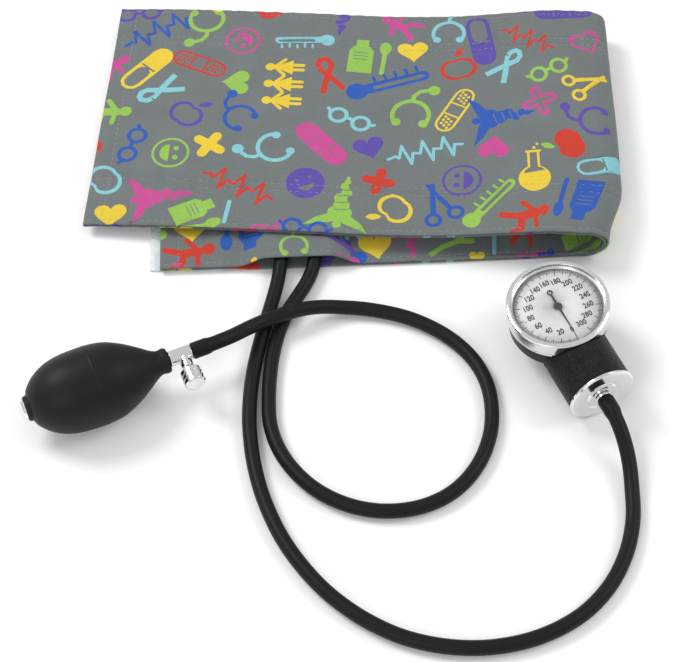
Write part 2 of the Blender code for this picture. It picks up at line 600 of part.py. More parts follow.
def tooth_outline(teeth, pitch_radius, first, count, turn):
    """Outline points of thin straight-sided teeth, counter-clockwise."""
    step = math.tau / teeth
    points = []
    for k in range(first, first + count):
        middle = turn + k * step
        root = pitch_radius - 1.2 * MODULE
        tip = pitch_radius + 0.85 * MODULE
        half_root = (0.36 * math.pi * MODULE) / pitch_radius * (pitch_radius / root) * 0.9
        half_pitch = (0.25 * math.pi * MODULE - TOOTH_LIGHTENING / 2) / pitch_radius
        half_tip = 0.5 * half_pitch
        for radius, angle in ((root, -half_root), (pitch_radius, -half_pitch), (tip, -half_tip),
                              (tip, half_tip), (pitch_radius, half_pitch), (root, half_root)):
            points.append((radius * math.cos(middle + angle), radius * math.sin(middle + angle)))
    return points


pinion_pitch = PINION_TEETH * MODULE / 2
sector_pitch = SECTOR_FULL_TEETH * MODULE / 2
mesh_angle = math.atan2(-SECTOR_AT[1], -SECTOR_AT[0])
sector_step = math.tau / SECTOR_FULL_TEETH
# the sector has a tooth on the line of centres, the pinion has a gap there
teeth_line = tooth_outline(SECTOR_FULL_TEETH, sector_pitch, -9, 11, mesh_angle)
first_angle = mesh_angle - 9.5 * sector_step
last_angle = mesh_angle + 1.5 * sector_step
root_radius = sector_pitch - 1.2 * MODULE
wedge = [(root_radius * math.cos(first_angle), root_radius * math.sin(first_angle))]
wedge += teeth_line
wedge.append((root_radius * math.cos(last_angle), root_radius * math.sin(last_angle)))
hub_gap = math.radians(40.0)
for k in range(9):
    angle = last_angle + hub_gap + (math.tau - 2 * hub_gap + first_angle - last_angle) * k / 8
    wedge.append((2.2 * math.cos(angle), 2.2 * math.sin(angle)))
middle_angle = (first_angle + last_angle) / 2
window = []
for radius, spread, count in ((9.8, 0.28, 5), (4.2, -0.18, 3)):
    for k in range(count):
        angle = middle_angle + spread * (2 * k / (count - 1) - 1)
        window.append((radius * math.cos(angle), radius * math.sin(angle)))
prism("sector_gear", [wedge, circle(SECTOR_SHAFT_RADIUS + 0.08, 12), window], 0.8, GAUGE,
      (*SECTOR_AT, -5.6), "brass")
shaft = revolve("sector_shaft",
                ((0, -2.9), (SECTOR_SHAFT_RADIUS, -2.9), (SECTOR_SHAFT_RADIUS, -4.8), (1.5, -4.8), (1.5, -5.1),
                 (SECTOR_SHAFT_RADIUS, -5.1), (SECTOR_SHAFT_RADIUS, -14.3), (0, -14.3)), 14,
                GAUGE, (*SECTOR_AT, 0), "steel")
arm = prism("sector_arm_tool", [[(-1.2, -0.8), (PUSH_ARM + 1.4, -0.8), (PUSH_ARM + 1.4, 0.8), (-1.2, 0.8)]],
            1.2, GAUGE, (*SECTOR_AT, -13.6), "", None, True)
combine(shaft, arm, "UNION")

pinion_turn = mesh_angle + math.pi + math.pi / PINION_TEETH
pinion = prism("arbor_pinion", [tooth_outline(PINION_TEETH, pinion_pitch, 0, PINION_TEETH, pinion_turn)],
               1.8, GAUGE, (0, 0, -5.6), "steel")
arbor = revolve("arbor_tool", rod_profile(ARBOR_RADIUS, 1.0, -11.7), 12, GAUGE, (0, 0, 0), "", None, True)
combine(pinion, arbor, "UNION")

spring_points = []
for k in range(SPRING_POINTS):
    angle = math.tau * SPRING_TURNS * k / (SPRING_POINTS - 1)
    radius = SPRING_START + SPRING_STEP * angle / math.tau
    spring_points.append((radius * math.cos(angle) * MM, radius * math.sin(angle) * MM, 0.0))
spring_mesh = round_line("hairspring", spring_points, SPRING_WIRE, 0)
link("hairspring", spring_mesh, GAUGE, (0, 0, -9.0), "steel")


# pointer: at rest its tip lies over the zero mark, towards the neck
def pointer_outlines():
    """Slim hand with a round hub and an open ring on its tail."""
    hub = 1.75
    ring_y = 8.2
    ring = 1.35
    edge = [(-0.12, -17.8), (0.12, -17.8), (0.42, -3.0), (0.6, -1.7)]
    edge += [(hub * math.cos(a), hub * math.sin(a)) for a in (-0.9, -0.3, 0.3, 0.9)]
    edge += [(0.55, 1.7), (0.5, ring_y - 1.2)]
    turns = (1.1, 1.9, 2.7, 3.58, 4.38, 5.18)
    edge += [(ring * math.sin(a), ring_y - ring * math.cos(a)) for a in turns]
    edge += [(-0.5, ring_y - 1.2), (-0.55, 1.7)]
    edge += [(-hub * math.cos(a), hub * math.sin(a)) for a in (0.9, 0.3, -0.3, -0.9)]
    edge += [(-0.6, -1.7), (-0.42, -3.0)]
    return [edge, circle(ARBOR_RADIUS + 0.06, 12), circle(0.75, 10, 0.0, ring_y)]


prism("pointer", pointer_outlines(), 0.3, GAUGE, (0, 0, 0.55), "black_plastic")

# gauge: neck with the pressure capsule
housing = revolve("neck_housing",
                  ((DRUM_RADIUS, 12.0), (DRUM_RADIUS, 42.0), (14.2, 42.0), (14.2, 13.4), (0, 13.4),
                   (0, 12.0)),
                  32, GAUGE, (0, 0, DRUM_AXIS_Z), "black_paint", toward_neck)
case_room = revolve("case_room",
                    ((0, 8.0), (BEZEL_RADIUS + 0.3, 8.0), (BEZEL_RADIUS + 0.3, -6.1),
                     (CASE_RADIUS + 0.3, -6.1),
                     (CASE_RADIUS + 0.3, CASE_FLOOR_Z - 0.4), (0, CASE_FLOOR_Z - 0.4)), 40, GAUGE,
                    (0, 0, 0), "", None, True)
combine(housing, case_room, "DIFFERENCE")
revolve("neck_disc",
        ((15.4, -42.3), (DISC_RADIUS, -42.6), (DISC_RADIUS, -43.4), (15.2, -43.9), (9.2, -43.9),
         (8.6, -43.5), (7.6, -43.5), (7.0, -44.3), (3.2, -44.3), (3.2, -42.3)), 36, GAUGE,
        (0, 0, DRUM_AXIS_Z), "chrome", Matrix.Rotation(math.radians(-90.0), 4, "X"))
capsule_side = [(2.3, -40.6), (2.3, -39.2), (12.6, -38.6), (13.2, -37.2), (12.0, -36.0), (13.2, -34.8),
                (12.0, -33.6), (13.2, -32.4), (12.4, -31.0), (3.0, -30.2), (0, -30.2), (0, -31.0),
                (3.0, -31.0), (11.6, -31.7), (12.2, -32.4), (10.8, -33.6), (12.2, -34.8), (10.8, -36.0),
                (12.2, -37.2), (11.8, -37.9), (1.2, -38.6), (1.2, -40.6)]
revolve("capsule", capsule_side[::-1], 16, GAUGE, (0, 0, DRUM_AXIS_Z), "brass",
        Matrix.Rotation(math.radians(-90.0), 4, "X"))
revolve("hose_barb",
        ((4.6, -40.9), (4.6, -42.0), (2.9, -42.0), (2.9, -44.7), (3.6, -44.7), (3.6, -45.8), (1.75, -46.1),
         (1.65, -51.4), (1.95, -52.0), (1.6, -53.4), (0.9, -53.4), (0.9, -40.9)), 16, GAUGE,
        (0, 0, DRUM_AXIS_Z), "chrome", Matrix.Rotation(math.radians(-90.0), 4, "X"))
revolve("push_rod", rod_profile(0.55, 10.7, -29.9), 10, GAUGE, (0, 0, DRUM_AXIS_Z), "steel",
        Matrix.Rotation(math.radians(-90.0), 4, "X"))

# back clip: strap bent in a wide hook
clip_line = [(4.0, -16.9), (17.0, -16.9), (19.6, -17.9), (20.9, -20.2), (20.9, -25.4), (19.6, -27.6),
             (17.2, -28.4), (-2.0, -28.4), (-6.0, -27.2), (-8.5, -25.4)]
CLIP_HALF = 0.55
strip = []
for side in (1, -1):
    run = clip_line if side == 1 else list(reversed(clip_line))
    full = clip_line
    for y, z in run:
        k = full.index((y, z))
        a = Vector(full[max(k - 1, 0)])
        b = Vector(full[min(k + 1, len(full) - 1)])
        along = (b - a).normalized()
        strip.append((y - along.y * CLIP_HALF * side, z + along.x * CLIP_HALF * side))
clip_turn = Matrix(((0, 0, 1, 0), (1, 0, 0, 0), (0, 1, 0, 0), (0, 0, 0, 1)))
clip = prism("back_clip", [strip], CLIP_WIDTH, GAUGE, (0, 0, 0), "steel", clip_turn)
for index, px in enumerate((-4.0, 4.0)):
    revolve("clip_rivet_" + str(index + 1),
            ((0, -14.2), (1.4, -14.3), (1.4, -14.6), (0.9, -14.6), (0.9, -17.7), (1.7, -17.7), (1.7, -18.0),
             (1.2, -18.4), (0, -18.4)), 12, GAUGE, (px, 8.0, 0), "steel")
    hole = revolve("clip_hole_" + str(index + 1), rod_profile(1.05, -13.0, -19.0), 12, GAUGE,
                   (px, 8.0, 0), "", None, True)
    combine(clip, hole, "DIFFERENCE")
    combine(case, hole, "DIFFERENCE")

bpy.context.view_layer.update()
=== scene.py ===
import math
import bmesh
import bpy
import numpy as np
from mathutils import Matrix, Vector, geometry


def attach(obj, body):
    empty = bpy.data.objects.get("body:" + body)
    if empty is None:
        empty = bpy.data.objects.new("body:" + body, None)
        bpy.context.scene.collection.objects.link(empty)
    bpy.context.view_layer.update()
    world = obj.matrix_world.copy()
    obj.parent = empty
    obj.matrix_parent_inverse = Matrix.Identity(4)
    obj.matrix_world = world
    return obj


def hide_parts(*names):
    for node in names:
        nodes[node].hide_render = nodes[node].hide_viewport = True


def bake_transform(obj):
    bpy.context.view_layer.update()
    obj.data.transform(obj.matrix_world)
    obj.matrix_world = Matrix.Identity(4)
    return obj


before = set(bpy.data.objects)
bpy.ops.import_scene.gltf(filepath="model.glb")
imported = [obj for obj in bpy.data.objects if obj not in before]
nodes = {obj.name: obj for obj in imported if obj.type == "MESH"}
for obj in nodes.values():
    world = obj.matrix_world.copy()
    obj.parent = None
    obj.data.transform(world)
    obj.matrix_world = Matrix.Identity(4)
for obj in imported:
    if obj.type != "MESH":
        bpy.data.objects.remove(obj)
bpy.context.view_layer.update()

layout = np.array((7.235, -69.335, 0.0))  # the drawing's middle, in mm

# camera, floor and light
camera = {"at": (0.007235, -0.594162, 0.749524), "tilt": 35.0, "lens": 99.0}  # metres, degrees and mm
lamps = {  # name: place, size, power, aim
    "keyPanel": ((-0.95, 0.45, 1.3), 0.7, 13.0, (0.0, -0.05, 0.0)),
    "fillPanel": ((1.05, 0.1, 1.1), 0.7, 5.0, (0.0, -0.05, 0.0)),
    "frontPanel": ((-0.5, -1.2, 1.0), 0.7, 4.0, (0.0, -0.05, 0.0)),
}
floorShade = (0.93, 0.93, 0.93, 1.0)

lensData = bpy.data.cameras.new("camera")
lensData.lens = camera["lens"]
lensData.sensor_width = 36.0
lensData.sensor_fit = "HORIZONTAL"
lensData.clip_start = 0.01
view = bpy.data.objects.new("camera", lensData)
view.location = camera["at"]
view.rotation_euler = (math.radians(camera["tilt"]), 0.0, 0.0)
bpy.context.scene.collection.objects.link(view)
bpy.context.scene.camera = view
bpy.context.scene.view_settings.view_transform = "Standard"
for lampName, (at, size, power, aim) in lamps.items():
    lampData = bpy.data.lights.new(lampName, "AREA")
    lampData.shape = "DISK"
    lampData.size = size
    lampData.energy = power
    lamp = bpy.data.objects.new(lampName, lampData)
    lamp.location = at
    lamp.rotation_euler = (Vector(aim) - Vector(at)).to_track_quat("-Z", "Y").to_euler()
    bpy.context.scene.collection.objects.link(lamp)
world = bpy.data.worlds.new("studio")
bpy.context.scene.world = world
world.use_nodes = True
sky = world.node_tree.nodes["Background"]
sky.inputs["Color"].default_value = (1.0, 1.0, 1.0, 1.0)
sky.inputs["Strength"].default_value = 0.68


# shapes
def gridFaces(rows, columns, wrapRows=False, wrapColumns=False):
    # every cell of a rows by columns grid as one four-cornered face, joined round where it wraps
    a = np.arange(rows if wrapRows else rows - 1)
    b = np.arange(columns if wrapColumns else columns - 1)
    r, c = np.meshgrid(a, b, indexing="ij")
    r2, c2 = (r + 1) % rows, (c + 1) % columns
    corners = np.stack([r * columns + c, r * columns + c2, r2 * columns + c2, r2 * columns + c], -1)
    return corners.reshape(-1, 4)


def closeUp(mesh, join=True):
    # points less than 0.2 micrometres apart become one, then every face is turned to look outwards
    shape = bmesh.new()
    shape.from_mesh(mesh)
    if join:
        bmesh.ops.remove_doubles(shape, verts=shape.verts, dist=2e-7)
    bmesh.ops.recalc_face_normals(shape, faces=shape.faces)
    shape.to_mesh(mesh)
    shape.free()


def addPiece(name, points, faces, material, tidy=True, uv=None, tint=None, smooth=True, sharp=0.0):
    # points (metres) and faces become one object at the origin; tidy closes poles and turns faces outwards
    mesh = bpy.data.meshes.new(name)
    mesh.from_pydata(np.asarray(points).tolist(), [], [list(f) for f in np.asarray(faces).tolist()]
        if not isinstance(faces, list) else faces)
    mesh.polygons.foreach_set("use_smooth", np.full(len(mesh.polygons), smooth))
    if uv is not None:
        layer = mesh.uv_layers.new(name="cloth")
        loopPoint = np.empty(len(mesh.loops), dtype=np.int32)
        mesh.loops.foreach_get("vertex_index", loopPoint)
        layer.data.foreach_set("uv", uv[loopPoint].astype(np.float32).ravel())
    if tint is not None:
        ink = mesh.color_attributes.new("ink", "FLOAT_COLOR", "CORNER")
        ink.data.foreach_set("color", np.repeat(tint, 3, axis=0).astype(np.float32).ravel())
    if tidy:
        closeUp(mesh)
    mesh.update()
    if sharp:
        mesh.set_sharp_from_angle(angle=math.radians(sharp))
    mesh.materials.append(material)
    piece = bpy.data.objects.new(name, mesh)
    bpy.context.scene.collection.objects.link(piece)
    return piece


def easeCorners(line, radius, loop=False):
    # each corner of a line gives way to a short curve of about that radius, with a held point on either side
    spots = np.array(line, float)
    out = []
    for k in range(len(spots)):
        if not loop and k in (0, len(spots) - 1):
            out.append(spots[k])
            continue
        before, corner, after = spots[k - 1], spots[k], spots[(k + 1) % len(spots)]
        back, ahead = before - corner, after - corner
        backLong, aheadLong = np.linalg.norm(back), np.linalg.norm(ahead)
        back, ahead = back / backLong, ahead / aheadLong
        turn = math.acos(max(-1.0, min(1.0, -float(back @ ahead))))
        if turn < 0.2 or radius == 0:
            out.append(corner)
            continue
        reach = min(radius * math.tan(turn / 2), 0.4 * backLong, 0.4 * aheadLong)
        out.append(corner + back * min(reach * 1.3, 0.46 * backLong))
        out += [corner + back * reach * (1 - t) ** 2 + ahead * reach * t * t for t in (0.0, 0.25, 0.5,
            0.75, 1.0)]
        out.append(corner + ahead * min(reach * 1.3, 0.46 * aheadLong))
    return np.array(out)


def turnedPiece(name, profile, place, material, sides=96, corner=0.0, loop=False):
    # a profile of (radius, height) carried round the place's third axis
    line = easeCorners(profile, corner, loop)
    angle = np.linspace(0.0, math.tau, sides, endpoint=False)
    ring = np.stack([line[:, :1] * np.cos(angle), line[:, :1] * np.sin(angle), line[:, 1:] + 0.0 * angle],
        -1)
    points = place["at"] + ring @ place["axes"]
    return addPiece(name, points.reshape(-1, 3) * 0.001, gridFaces(len(line), sides, loop, True), material)


def flatPiece(name, outlines, place, low, thick, corner, material):
    # closed outlines filled and given a thickness with softened edges, laid at height low on the place
    curve = bpy.data.curves.new(name, "CURVE")
    curve.dimensions = "2D"
    curve.fill_mode = "BOTH"
    curve.extrude = max(thick / 2 - corner, 0.001)
    curve.bevel_depth = corner
    curve.bevel_resolution = 2
    curve.offset = -corner
    for outline in outlines:
        line = curve.splines.new("POLY")
        line.points.add(len(outline) - 1)
        line.points.foreach_set("co", np.array([(x, y, 0.0, 1.0) for x, y in outline], float).ravel())
        line.use_cyclic_u = True
    return settleCurve(name, curve, place, low + thick / 2, material)


def settleCurve(name, curve, place, height, material, spot=(0.0, 0.0), narrow=1.0):
    # turns a flat curve or a text into a mesh, then moves its points to their place
    holder = bpy.data.objects.new(name + "Line", curve)
    bpy.context.scene.collection.objects.link(holder)
    bpy.context.view_layer.update()
    mesh = bpy.data.meshes.new_from_object(holder.evaluated_get(bpy.context.evaluated_depsgraph_get()))
    bpy.data.objects.remove(holder, do_unlink=True)
    points = np.empty(len(mesh.vertices) * 3)
    mesh.vertices.foreach_get("co", points)
    points = points.reshape(-1, 3) * (narrow, 1.0, 1.0) + np.array((spot[0], spot[1], height))
    mesh.vertices.foreach_set("co", ((place["at"] + points @ place["axes"]) * 0.001).ravel())
    mesh.materials.clear()
    mesh.materials.append(material)
    closeUp(mesh)
    piece = bpy.data.objects.new(name, mesh)
    bpy.context.scene.collection.objects.link(piece)
    return piece


def ease(t):
    # 0 below 0, 1 above 1, and a smooth S between
    t = np.clip(t, 0.0, 1.0)
    return t * t * (3.0 - 2.0 * t)


def softCurve(spots, count):
    # evenly spaced points on a smooth curve through the spots, and its length
    p = np.array(spots, float)
    p = np.vstack([2 * p[0] - p[1], p, 2 * p[-1] - p[-2]])
    t = np.linspace(0, 1, 24, endpoint=False)[:, None]
    runs = [0.5 * (2 * p[k] + (p[k + 1] - p[k - 1]) * t + (2 * p[k - 1] - 5 * p[k] + 4 * p[k + 1]
        - p[k + 2]) * t * t + (3 * p[k] - p[k - 1] - 3 * p[k + 1] + p[k + 2]) * t ** 3) for k in range(1,
        len(p) - 2)]
    fine = np.vstack(runs + [p[-2:-1]])
    along = np.concatenate([[0.0], np.cumsum(np.linalg.norm(np.diff(fine, axis=0), axis=1))])
    want = np.linspace(0, along[-1], count)
    return np.stack([np.interp(want, along, fine[:, k]) for k in range(fine.shape[1])], 1), along[-1]


# finishes
def addNode(tree, kind, values=None, **settings):
    # a shader node; a value that is a socket is linked, and any other is set
    node = tree.nodes.new(kind)
    for key, value in settings.items():
        setattr(node, key, value)
    for key, value in (values or {}).items():
        if isinstance(value, bpy.types.NodeSocket):
            tree.links.new(value, node.inputs[key])
        else:
            node.inputs[key].default_value = value
    return node


def sums(tree, operation, first, second=0.0):
    # one step of arithmetic on two values
    return addNode(tree, "ShaderNodeMath", {0: first, 1: second}, operation=operation).outputs[0]


def plus(tree, first, second):
    # first + second
    return sums(tree, "ADD", first, second)


def times(tree, first, second):
    # first x second
    return sums(tree, "MULTIPLY", first, second)


def newGroup(name, inputs, outputs):
    # an empty node group with its sockets
    group = bpy.data.node_groups.new(name, "ShaderNodeTree")
    for label, kind, value in inputs:
        socket = group.interface.new_socket(label, in_out="INPUT", socket_type=kind)
        if value is not None:
            socket.default_value = value
    for label, kind in outputs:
        group.interface.new_socket(label, in_out="OUTPUT", socket_type=kind)
    return group, group.nodes.new("NodeGroupInput"), group.nodes.new("NodeGroupOutput")


# plain weave: threads over and under each other, with uneven yarn and faint dye blotches; the colour is also
# painted darker where a thread dips under its neighbour and lighter on its top, as painted shade in the weave
weave, given, result = newGroup("plainWeave", (("Vector", "NodeSocketVector", None),
    ("Pitch", "NodeSocketFloat", 0.45), ("Colour", "NodeSocketColor", (0.5, 0.5, 0.5, 1)),
    ("Depth", "NodeSocketFloat", 0.25)), (("Colour", "NodeSocketColor"), ("Height", "NodeSocketFloat")))
parts = addNode(weave, "ShaderNodeSeparateXYZ", {0: given.outputs["Vector"]})
rate = sums(weave, "DIVIDE", 1000.0 * math.pi, given.outputs["Pitch"])
warpWave = sums(weave, "SINE", times(weave, parts.outputs[0], rate))
weftWave = sums(weave, "SINE", times(weave, parts.outputs[1], rate))
over = addNode(weave, "ShaderNodeMapRange", {"Value": times(weave, warpWave, weftWave), "From Min": -0.25,
    "From Max": 0.25}).outputs[0]
warpRise = sums(weave, "ABSOLUTE", warpWave)
weftRise = sums(weave, "ABSOLUTE", weftWave)
rise = addNode(weave, "ShaderNodeMix", {0: over, 2: warpRise, 3: weftRise}).outputs[0]
yarn = addNode(weave, "ShaderNodeTexNoise", {"Vector": given.outputs["Vector"], "Scale": 900.0,
    "Detail": 2.0})
blotch = addNode(weave, "ShaderNodeTexNoise", {"Vector": given.outputs["Vector"], "Scale": 60.0,
    "Detail": 3.0})
# painted shade: Depth sets how much darker the colour is where a thread dips, lighter on the thread tops; the
# yarn and blotch noises are the threads' own uneven tone
threadShadeAndYarn = plus(weave, times(weave, rise, given.outputs["Depth"]), plus(weave, times(weave, yarn.outputs[0],
    0.34), times(weave, blotch.outputs[0], 0.22)))
shade = plus(weave, threadShadeAndYarn, sums(weave, "SUBTRACT", 0.72, given.outputs["Depth"]))
weaveMix = addNode(weave, "ShaderNodeVectorMath", {0: given.outputs["Colour"], 1: shade},
    operation="MULTIPLY")
weave.links.new(weaveMix.outputs[0], result.inputs["Colour"])
weave.links.new(plus(weave, rise, times(weave, yarn.outputs[0], 0.5)), result.inputs["Height"])

# grain: fine speckle and broad cloudiness for rubber, paint, plastic and metal
grain, given, result = newGroup("mouldedGrain", (("Vector", "NodeSocketVector", None),
    ("Fine", "NodeSocketFloat", 900.0), ("Broad", "NodeSocketFloat", 40.0), ("Colour", "NodeSocketColor",
    (0.5, 0.5, 0.5, 1)), ("Contrast", "NodeSocketFloat", 0.2), ("Roughness", "NodeSocketFloat", 0.5),
    ("Spread", "NodeSocketFloat", 0.1)), (("Colour", "NodeSocketColor"), ("Roughness", "NodeSocketFloat"),
    ("Height", "NodeSocketFloat")))
fine = addNode(grain, "ShaderNodeTexNoise", {"Vector": given.outputs["Vector"],
    "Scale": given.outputs["Fine"], "Detail": 3.0}).outputs[0]
broad = addNode(grain, "ShaderNodeTexNoise", {"Vector": given.outputs["Vector"],
    "Scale": given.outputs["Broad"], "Detail": 4.0}).outputs[0]
swing = sums(grain, "SUBTRACT", plus(grain, fine, broad), 1.0)
tone = plus(grain, times(grain, swing, given.outputs["Contrast"]), 1.0)
toned = addNode(grain, "ShaderNodeVectorMath", {0: given.outputs["Colour"], 1: tone}, operation="MULTIPLY")
grain.links.new(toned.outputs[0], result.inputs["Colour"])
grain.links.new(plus(grain, given.outputs["Roughness"], times(grain, swing, given.outputs["Spread"])),
    result.inputs["Roughness"])
grain.links.new(fine, result.inputs["Height"])


def newFinish(name, roughness=0.5, metallic=0.0, **plain):
    # a plain shader with its settings
    material = bpy.data.materials.new(name)
    material.use_nodes = True
    shader = material.node_tree.nodes["Principled BSDF"]
    shader.inputs["Roughness"].default_value = roughness
    shader.inputs["Metallic"].default_value = metallic
    for key, value in plain.items():
        shader.inputs[key.replace("_", " ")].default_value = value
    return material, material.node_tree, shader


def addBump(tree, shader, height, strength, distance):
    # the height tilts the surface
    bump = addNode(tree, "ShaderNodeBump", {"Height": height, "Strength": strength, "Distance": distance})
    tree.links.new(bump.outputs[0], shader.inputs["Normal"])


def wovenFinish(name, attribute, pitch=0.45, depth=0.25, strength=0.35, **plain):
    # weave colour, with painted shade where the threads dip, and height from the cloth's own flat layout,
    # with the ink as its colour
    material, tree, shader = newFinish(name, 0.88, 0.0, **plain)
    uv = addNode(tree, "ShaderNodeUVMap", uv_map="cloth")
    cloth = addNode(tree, "ShaderNodeGroup", {}, node_tree=weave)
    tree.links.new(uv.outputs[0], cloth.inputs["Vector"])
    cloth.inputs["Pitch"].default_value = pitch
    # depth sets the strength of the painted shade in the weave's dips
    cloth.inputs["Depth"].default_value = depth
    ink = addNode(tree, "ShaderNodeAttribute", attribute_name=attribute)
    tree.links.new(ink.outputs["Color"], cloth.inputs["Colour"])
    tree.links.new(cloth.outputs["Colour"], shader.inputs["Base Color"])
    addBump(tree, shader, cloth.outputs["Height"], strength, 0.0002)
    return material


def grainFinish(name, colour, roughness, metallic=0.0, fine=900.0, broad=40.0, contrast=0.2, spread=0.1,
        strength=0.1, distance=0.0001, **plain):
    # colour = its tone x (1 + contrast x swing), roughness = its own + spread x swing, swing from two noises
    material, tree, shader = newFinish(name, roughness, metallic, **plain)
    spot = addNode(tree, "ShaderNodeTexCoord")
    body = addNode(tree, "ShaderNodeGroup", {}, node_tree=grain)
    tree.links.new(spot.outputs["Object"], body.inputs["Vector"])
    for key, value in (("Fine", fine), ("Broad", broad), ("Colour", (*colour, 1.0)),
            ("Contrast", contrast), ("Roughness", roughness), ("Spread", spread)):
        body.inputs[key].default_value = value
    tree.links.new(body.outputs["Colour"], shader.inputs["Base Color"])
    tree.links.new(body.outputs["Roughness"], shader.inputs["Roughness"])
    if strength:
        addBump(tree, shader, body.outputs["Height"], strength, distance)
    return material


printedCloth = wovenFinish("printedCloth", "ink", Sheen_Weight=0.05, Sheen_Roughness=0.5)
hoseRubber = grainFinish("hoseRubber", (0.007, 0.0075, 0.0085), 0.46, fine=1500.0, broad=30.0,
    contrast=0.35, spread=0.1, strength=0.06, Specular_IOR_Level=0.17)
bulbRubber = grainFinish("bulbRubber", (0.006, 0.006, 0.0065), 0.5, fine=1400.0, broad=35.0,
    contrast=0.35, spread=0.16, strength=0.1, Specular_IOR_Level=0.22)
chromePlate = grainFinish("chromePlate", (0.80, 0.80, 0.81), 0.1, 1.0, fine=1200.0, broad=60.0,
    contrast=0.05, spread=0.07, strength=0.0)
satinPlate = grainFinish("satinPlate", (0.72, 0.73, 0.74), 0.24, 1.0, fine=1600.0, broad=60.0,
    contrast=0.08, spread=0.1, strength=0.03)
steelWire = grainFinish("steelWire", (0.5, 0.5, 0.52), 0.32, 1.0, contrast=0.15, strength=0.05)
brassSheet = grainFinish("brassSheet", (0.6, 0.42, 0.16), 0.34, 1.0, contrast=0.2, strength=0.05)
casePaint = grainFinish("casePaint", (0.004, 0.004, 0.0045), 0.3, fine=1100.0, contrast=0.3, spread=0.1,
    strength=0.08, Specular_IOR_Level=0.2)
handPaint = grainFinish("handPaint", (0.008, 0.008, 0.009), 0.35, contrast=0.2, strength=0.03)
dialEnamel = grainFinish("dialEnamel", (0.44, 0.44, 0.435), 0.5, fine=1100.0, broad=120.0, contrast=0.09,
    spread=0.1, strength=0.05)
dialInk = grainFinish("dialInk", (0.012, 0.012, 0.014), 0.55, contrast=0.2, strength=0.0)
bladderRubber = grainFinish("bladderRubber", (0.05, 0.05, 0.055), 0.6, contrast=0.3, strength=0.1)
nylonSeal = grainFinish("nylonSeal", (0.75, 0.74, 0.68), 0.45, contrast=0.08, strength=0.05)
threadYarn = grainFinish("threadYarn", (0.27, 0.29, 0.29), 0.7, fine=2600.0, broad=300.0, contrast=0.5,
    strength=0.5, Sheen_Weight=0.2)
hookPile = grainFinish("hookPile", (0.72, 0.78, 0.80), 0.8, fine=1500.0, broad=200.0, contrast=0.45,
    strength=0.9, distance=0.0006, Sheen_Weight=0.3)
loopPile = grainFinish("loopPile", (0.14, 0.15, 0.155), 0.9, fine=1100.0, broad=150.0, contrast=0.7,
    strength=1.0, distance=0.0008, Sheen_Weight=0.5)

# wrinkled leather-look paint for the neck: cells pulled out of shape by noise, as ridges between dimples; the
# colour is painted darker in the low parts and lighter on the high ones, as painted shade in the wrinkles
neckLeather, tree, shader = newFinish("neckLeather", 0.44, 0.0, Specular_IOR_Level=0.2)
spot = addNode(tree, "ShaderNodeTexCoord")
warp = addNode(tree, "ShaderNodeTexNoise", {"Vector": spot.outputs["Object"], "Scale": 260.0, "Detail": 2.0})
moved = addNode(tree, "ShaderNodeVectorMath", {0: warp.outputs["Color"], 1: (0.003, 0.003, 0.003)},
    operation="MULTIPLY")
bent = addNode(tree, "ShaderNodeVectorMath", {0: spot.outputs["Object"], 1: moved.outputs[0]})
cells = addNode(tree, "ShaderNodeTexVoronoi", {"Vector": bent.outputs[0], "Scale": 700.0},
    feature="DISTANCE_TO_EDGE")
ridge = addNode(tree, "ShaderNodeMapRange", {"Value": cells.outputs["Distance"], "From Max": 0.35})
addBump(tree, shader, ridge.outputs[0], 0.75, 0.0004)
# painted shade: the black is darker where the wrinkle height is low and lighter where it is high
tint = addNode(tree, "ShaderNodeMix", {0: ridge.outputs[0], 6: (0.003, 0.003, 0.0035, 1),
    7: (0.008, 0.008, 0.009, 1)}, data_type="RGBA")
tree.links.new(tint.outputs[2], shader.inputs["Base Color"])
print("finishes made")

floorPaint, tree, shader = newFinish("floorPaint", 0.7)
shader.inputs["Base Color"].default_value = floorShade
ground = addPiece("floor", np.array([(-4, -4, -0.0003), (4, -4, -0.0003), (4, 4, -0.0003),
    (-4, 4, -0.0003)]), np.array([(0, 1, 2, 3)]), floorPaint, tidy=False)

def newPlace(at, along, up):
    # a place in mm whose third axis runs along, with its first axis towards up
    third = np.array(along, float) / np.linalg.norm(along)
    first = np.array(up, float) - third * float(np.array(up, float) @ third)
    first /= np.linalg.norm(first)
    return {"at": np.array(at, float), "axes": np.array((first, np.cross(third, first), third))}


def further(place, distance):
    # the same place moved along its third axis
    return {"at": place["at"] + place["axes"][2] * distance, "axes": place["axes"]}


def fit(piece, body, *cadNodes):
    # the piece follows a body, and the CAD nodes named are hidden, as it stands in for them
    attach(piece, body)
    if cadNodes:
        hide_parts(*cadNodes)
    return piece


# hoses
hose = {"radius": 3.4, "collarRadius": 3.95, "collarLength": 9.0, "bore": 2.0, "boreDepth": 4.0, "sides": 28}
gaugeHoseRoute = ((-33.3, 45.8, 4.9), (-33.6, 37.0, 4.9), (-34.6, 28.0, 3.8), (-36.4, 18.7, 3.4),
    (-39.0, 6.9, 3.4), (-42.1, -7.6, 3.4), (-44.9, -24.6, 3.4), (-46.2, -41.3, 3.4), (-45.8, -57.6, 3.4),
    (-43.2, -76.2, 3.4), (-38.3, -94.3, 3.4), (-30.4, -112.6, 3.4), (-20.5, -128.0, 3.4),
    (-8.6, -141.5, 3.4), (6.4, -153.2, 3.4), (23.4, -161.7, 3.4), (42.4, -166.0, 3.4),
    (61.5, -166.0, 3.4), (80.9, -161.3, 3.4), (98.6, -151.6, 3.4), (111.8, -138.1, 3.4),
    (120.6, -122.0, 3.4), (125.2, -105.0, 3.6), (126.0, -89.2, 4.6), (125.2, -76.0, 8.0),
    (122.6, -65.4, 12.6), (119.2, -56.6, 15.5), (115.8, -49.1, 16.0))
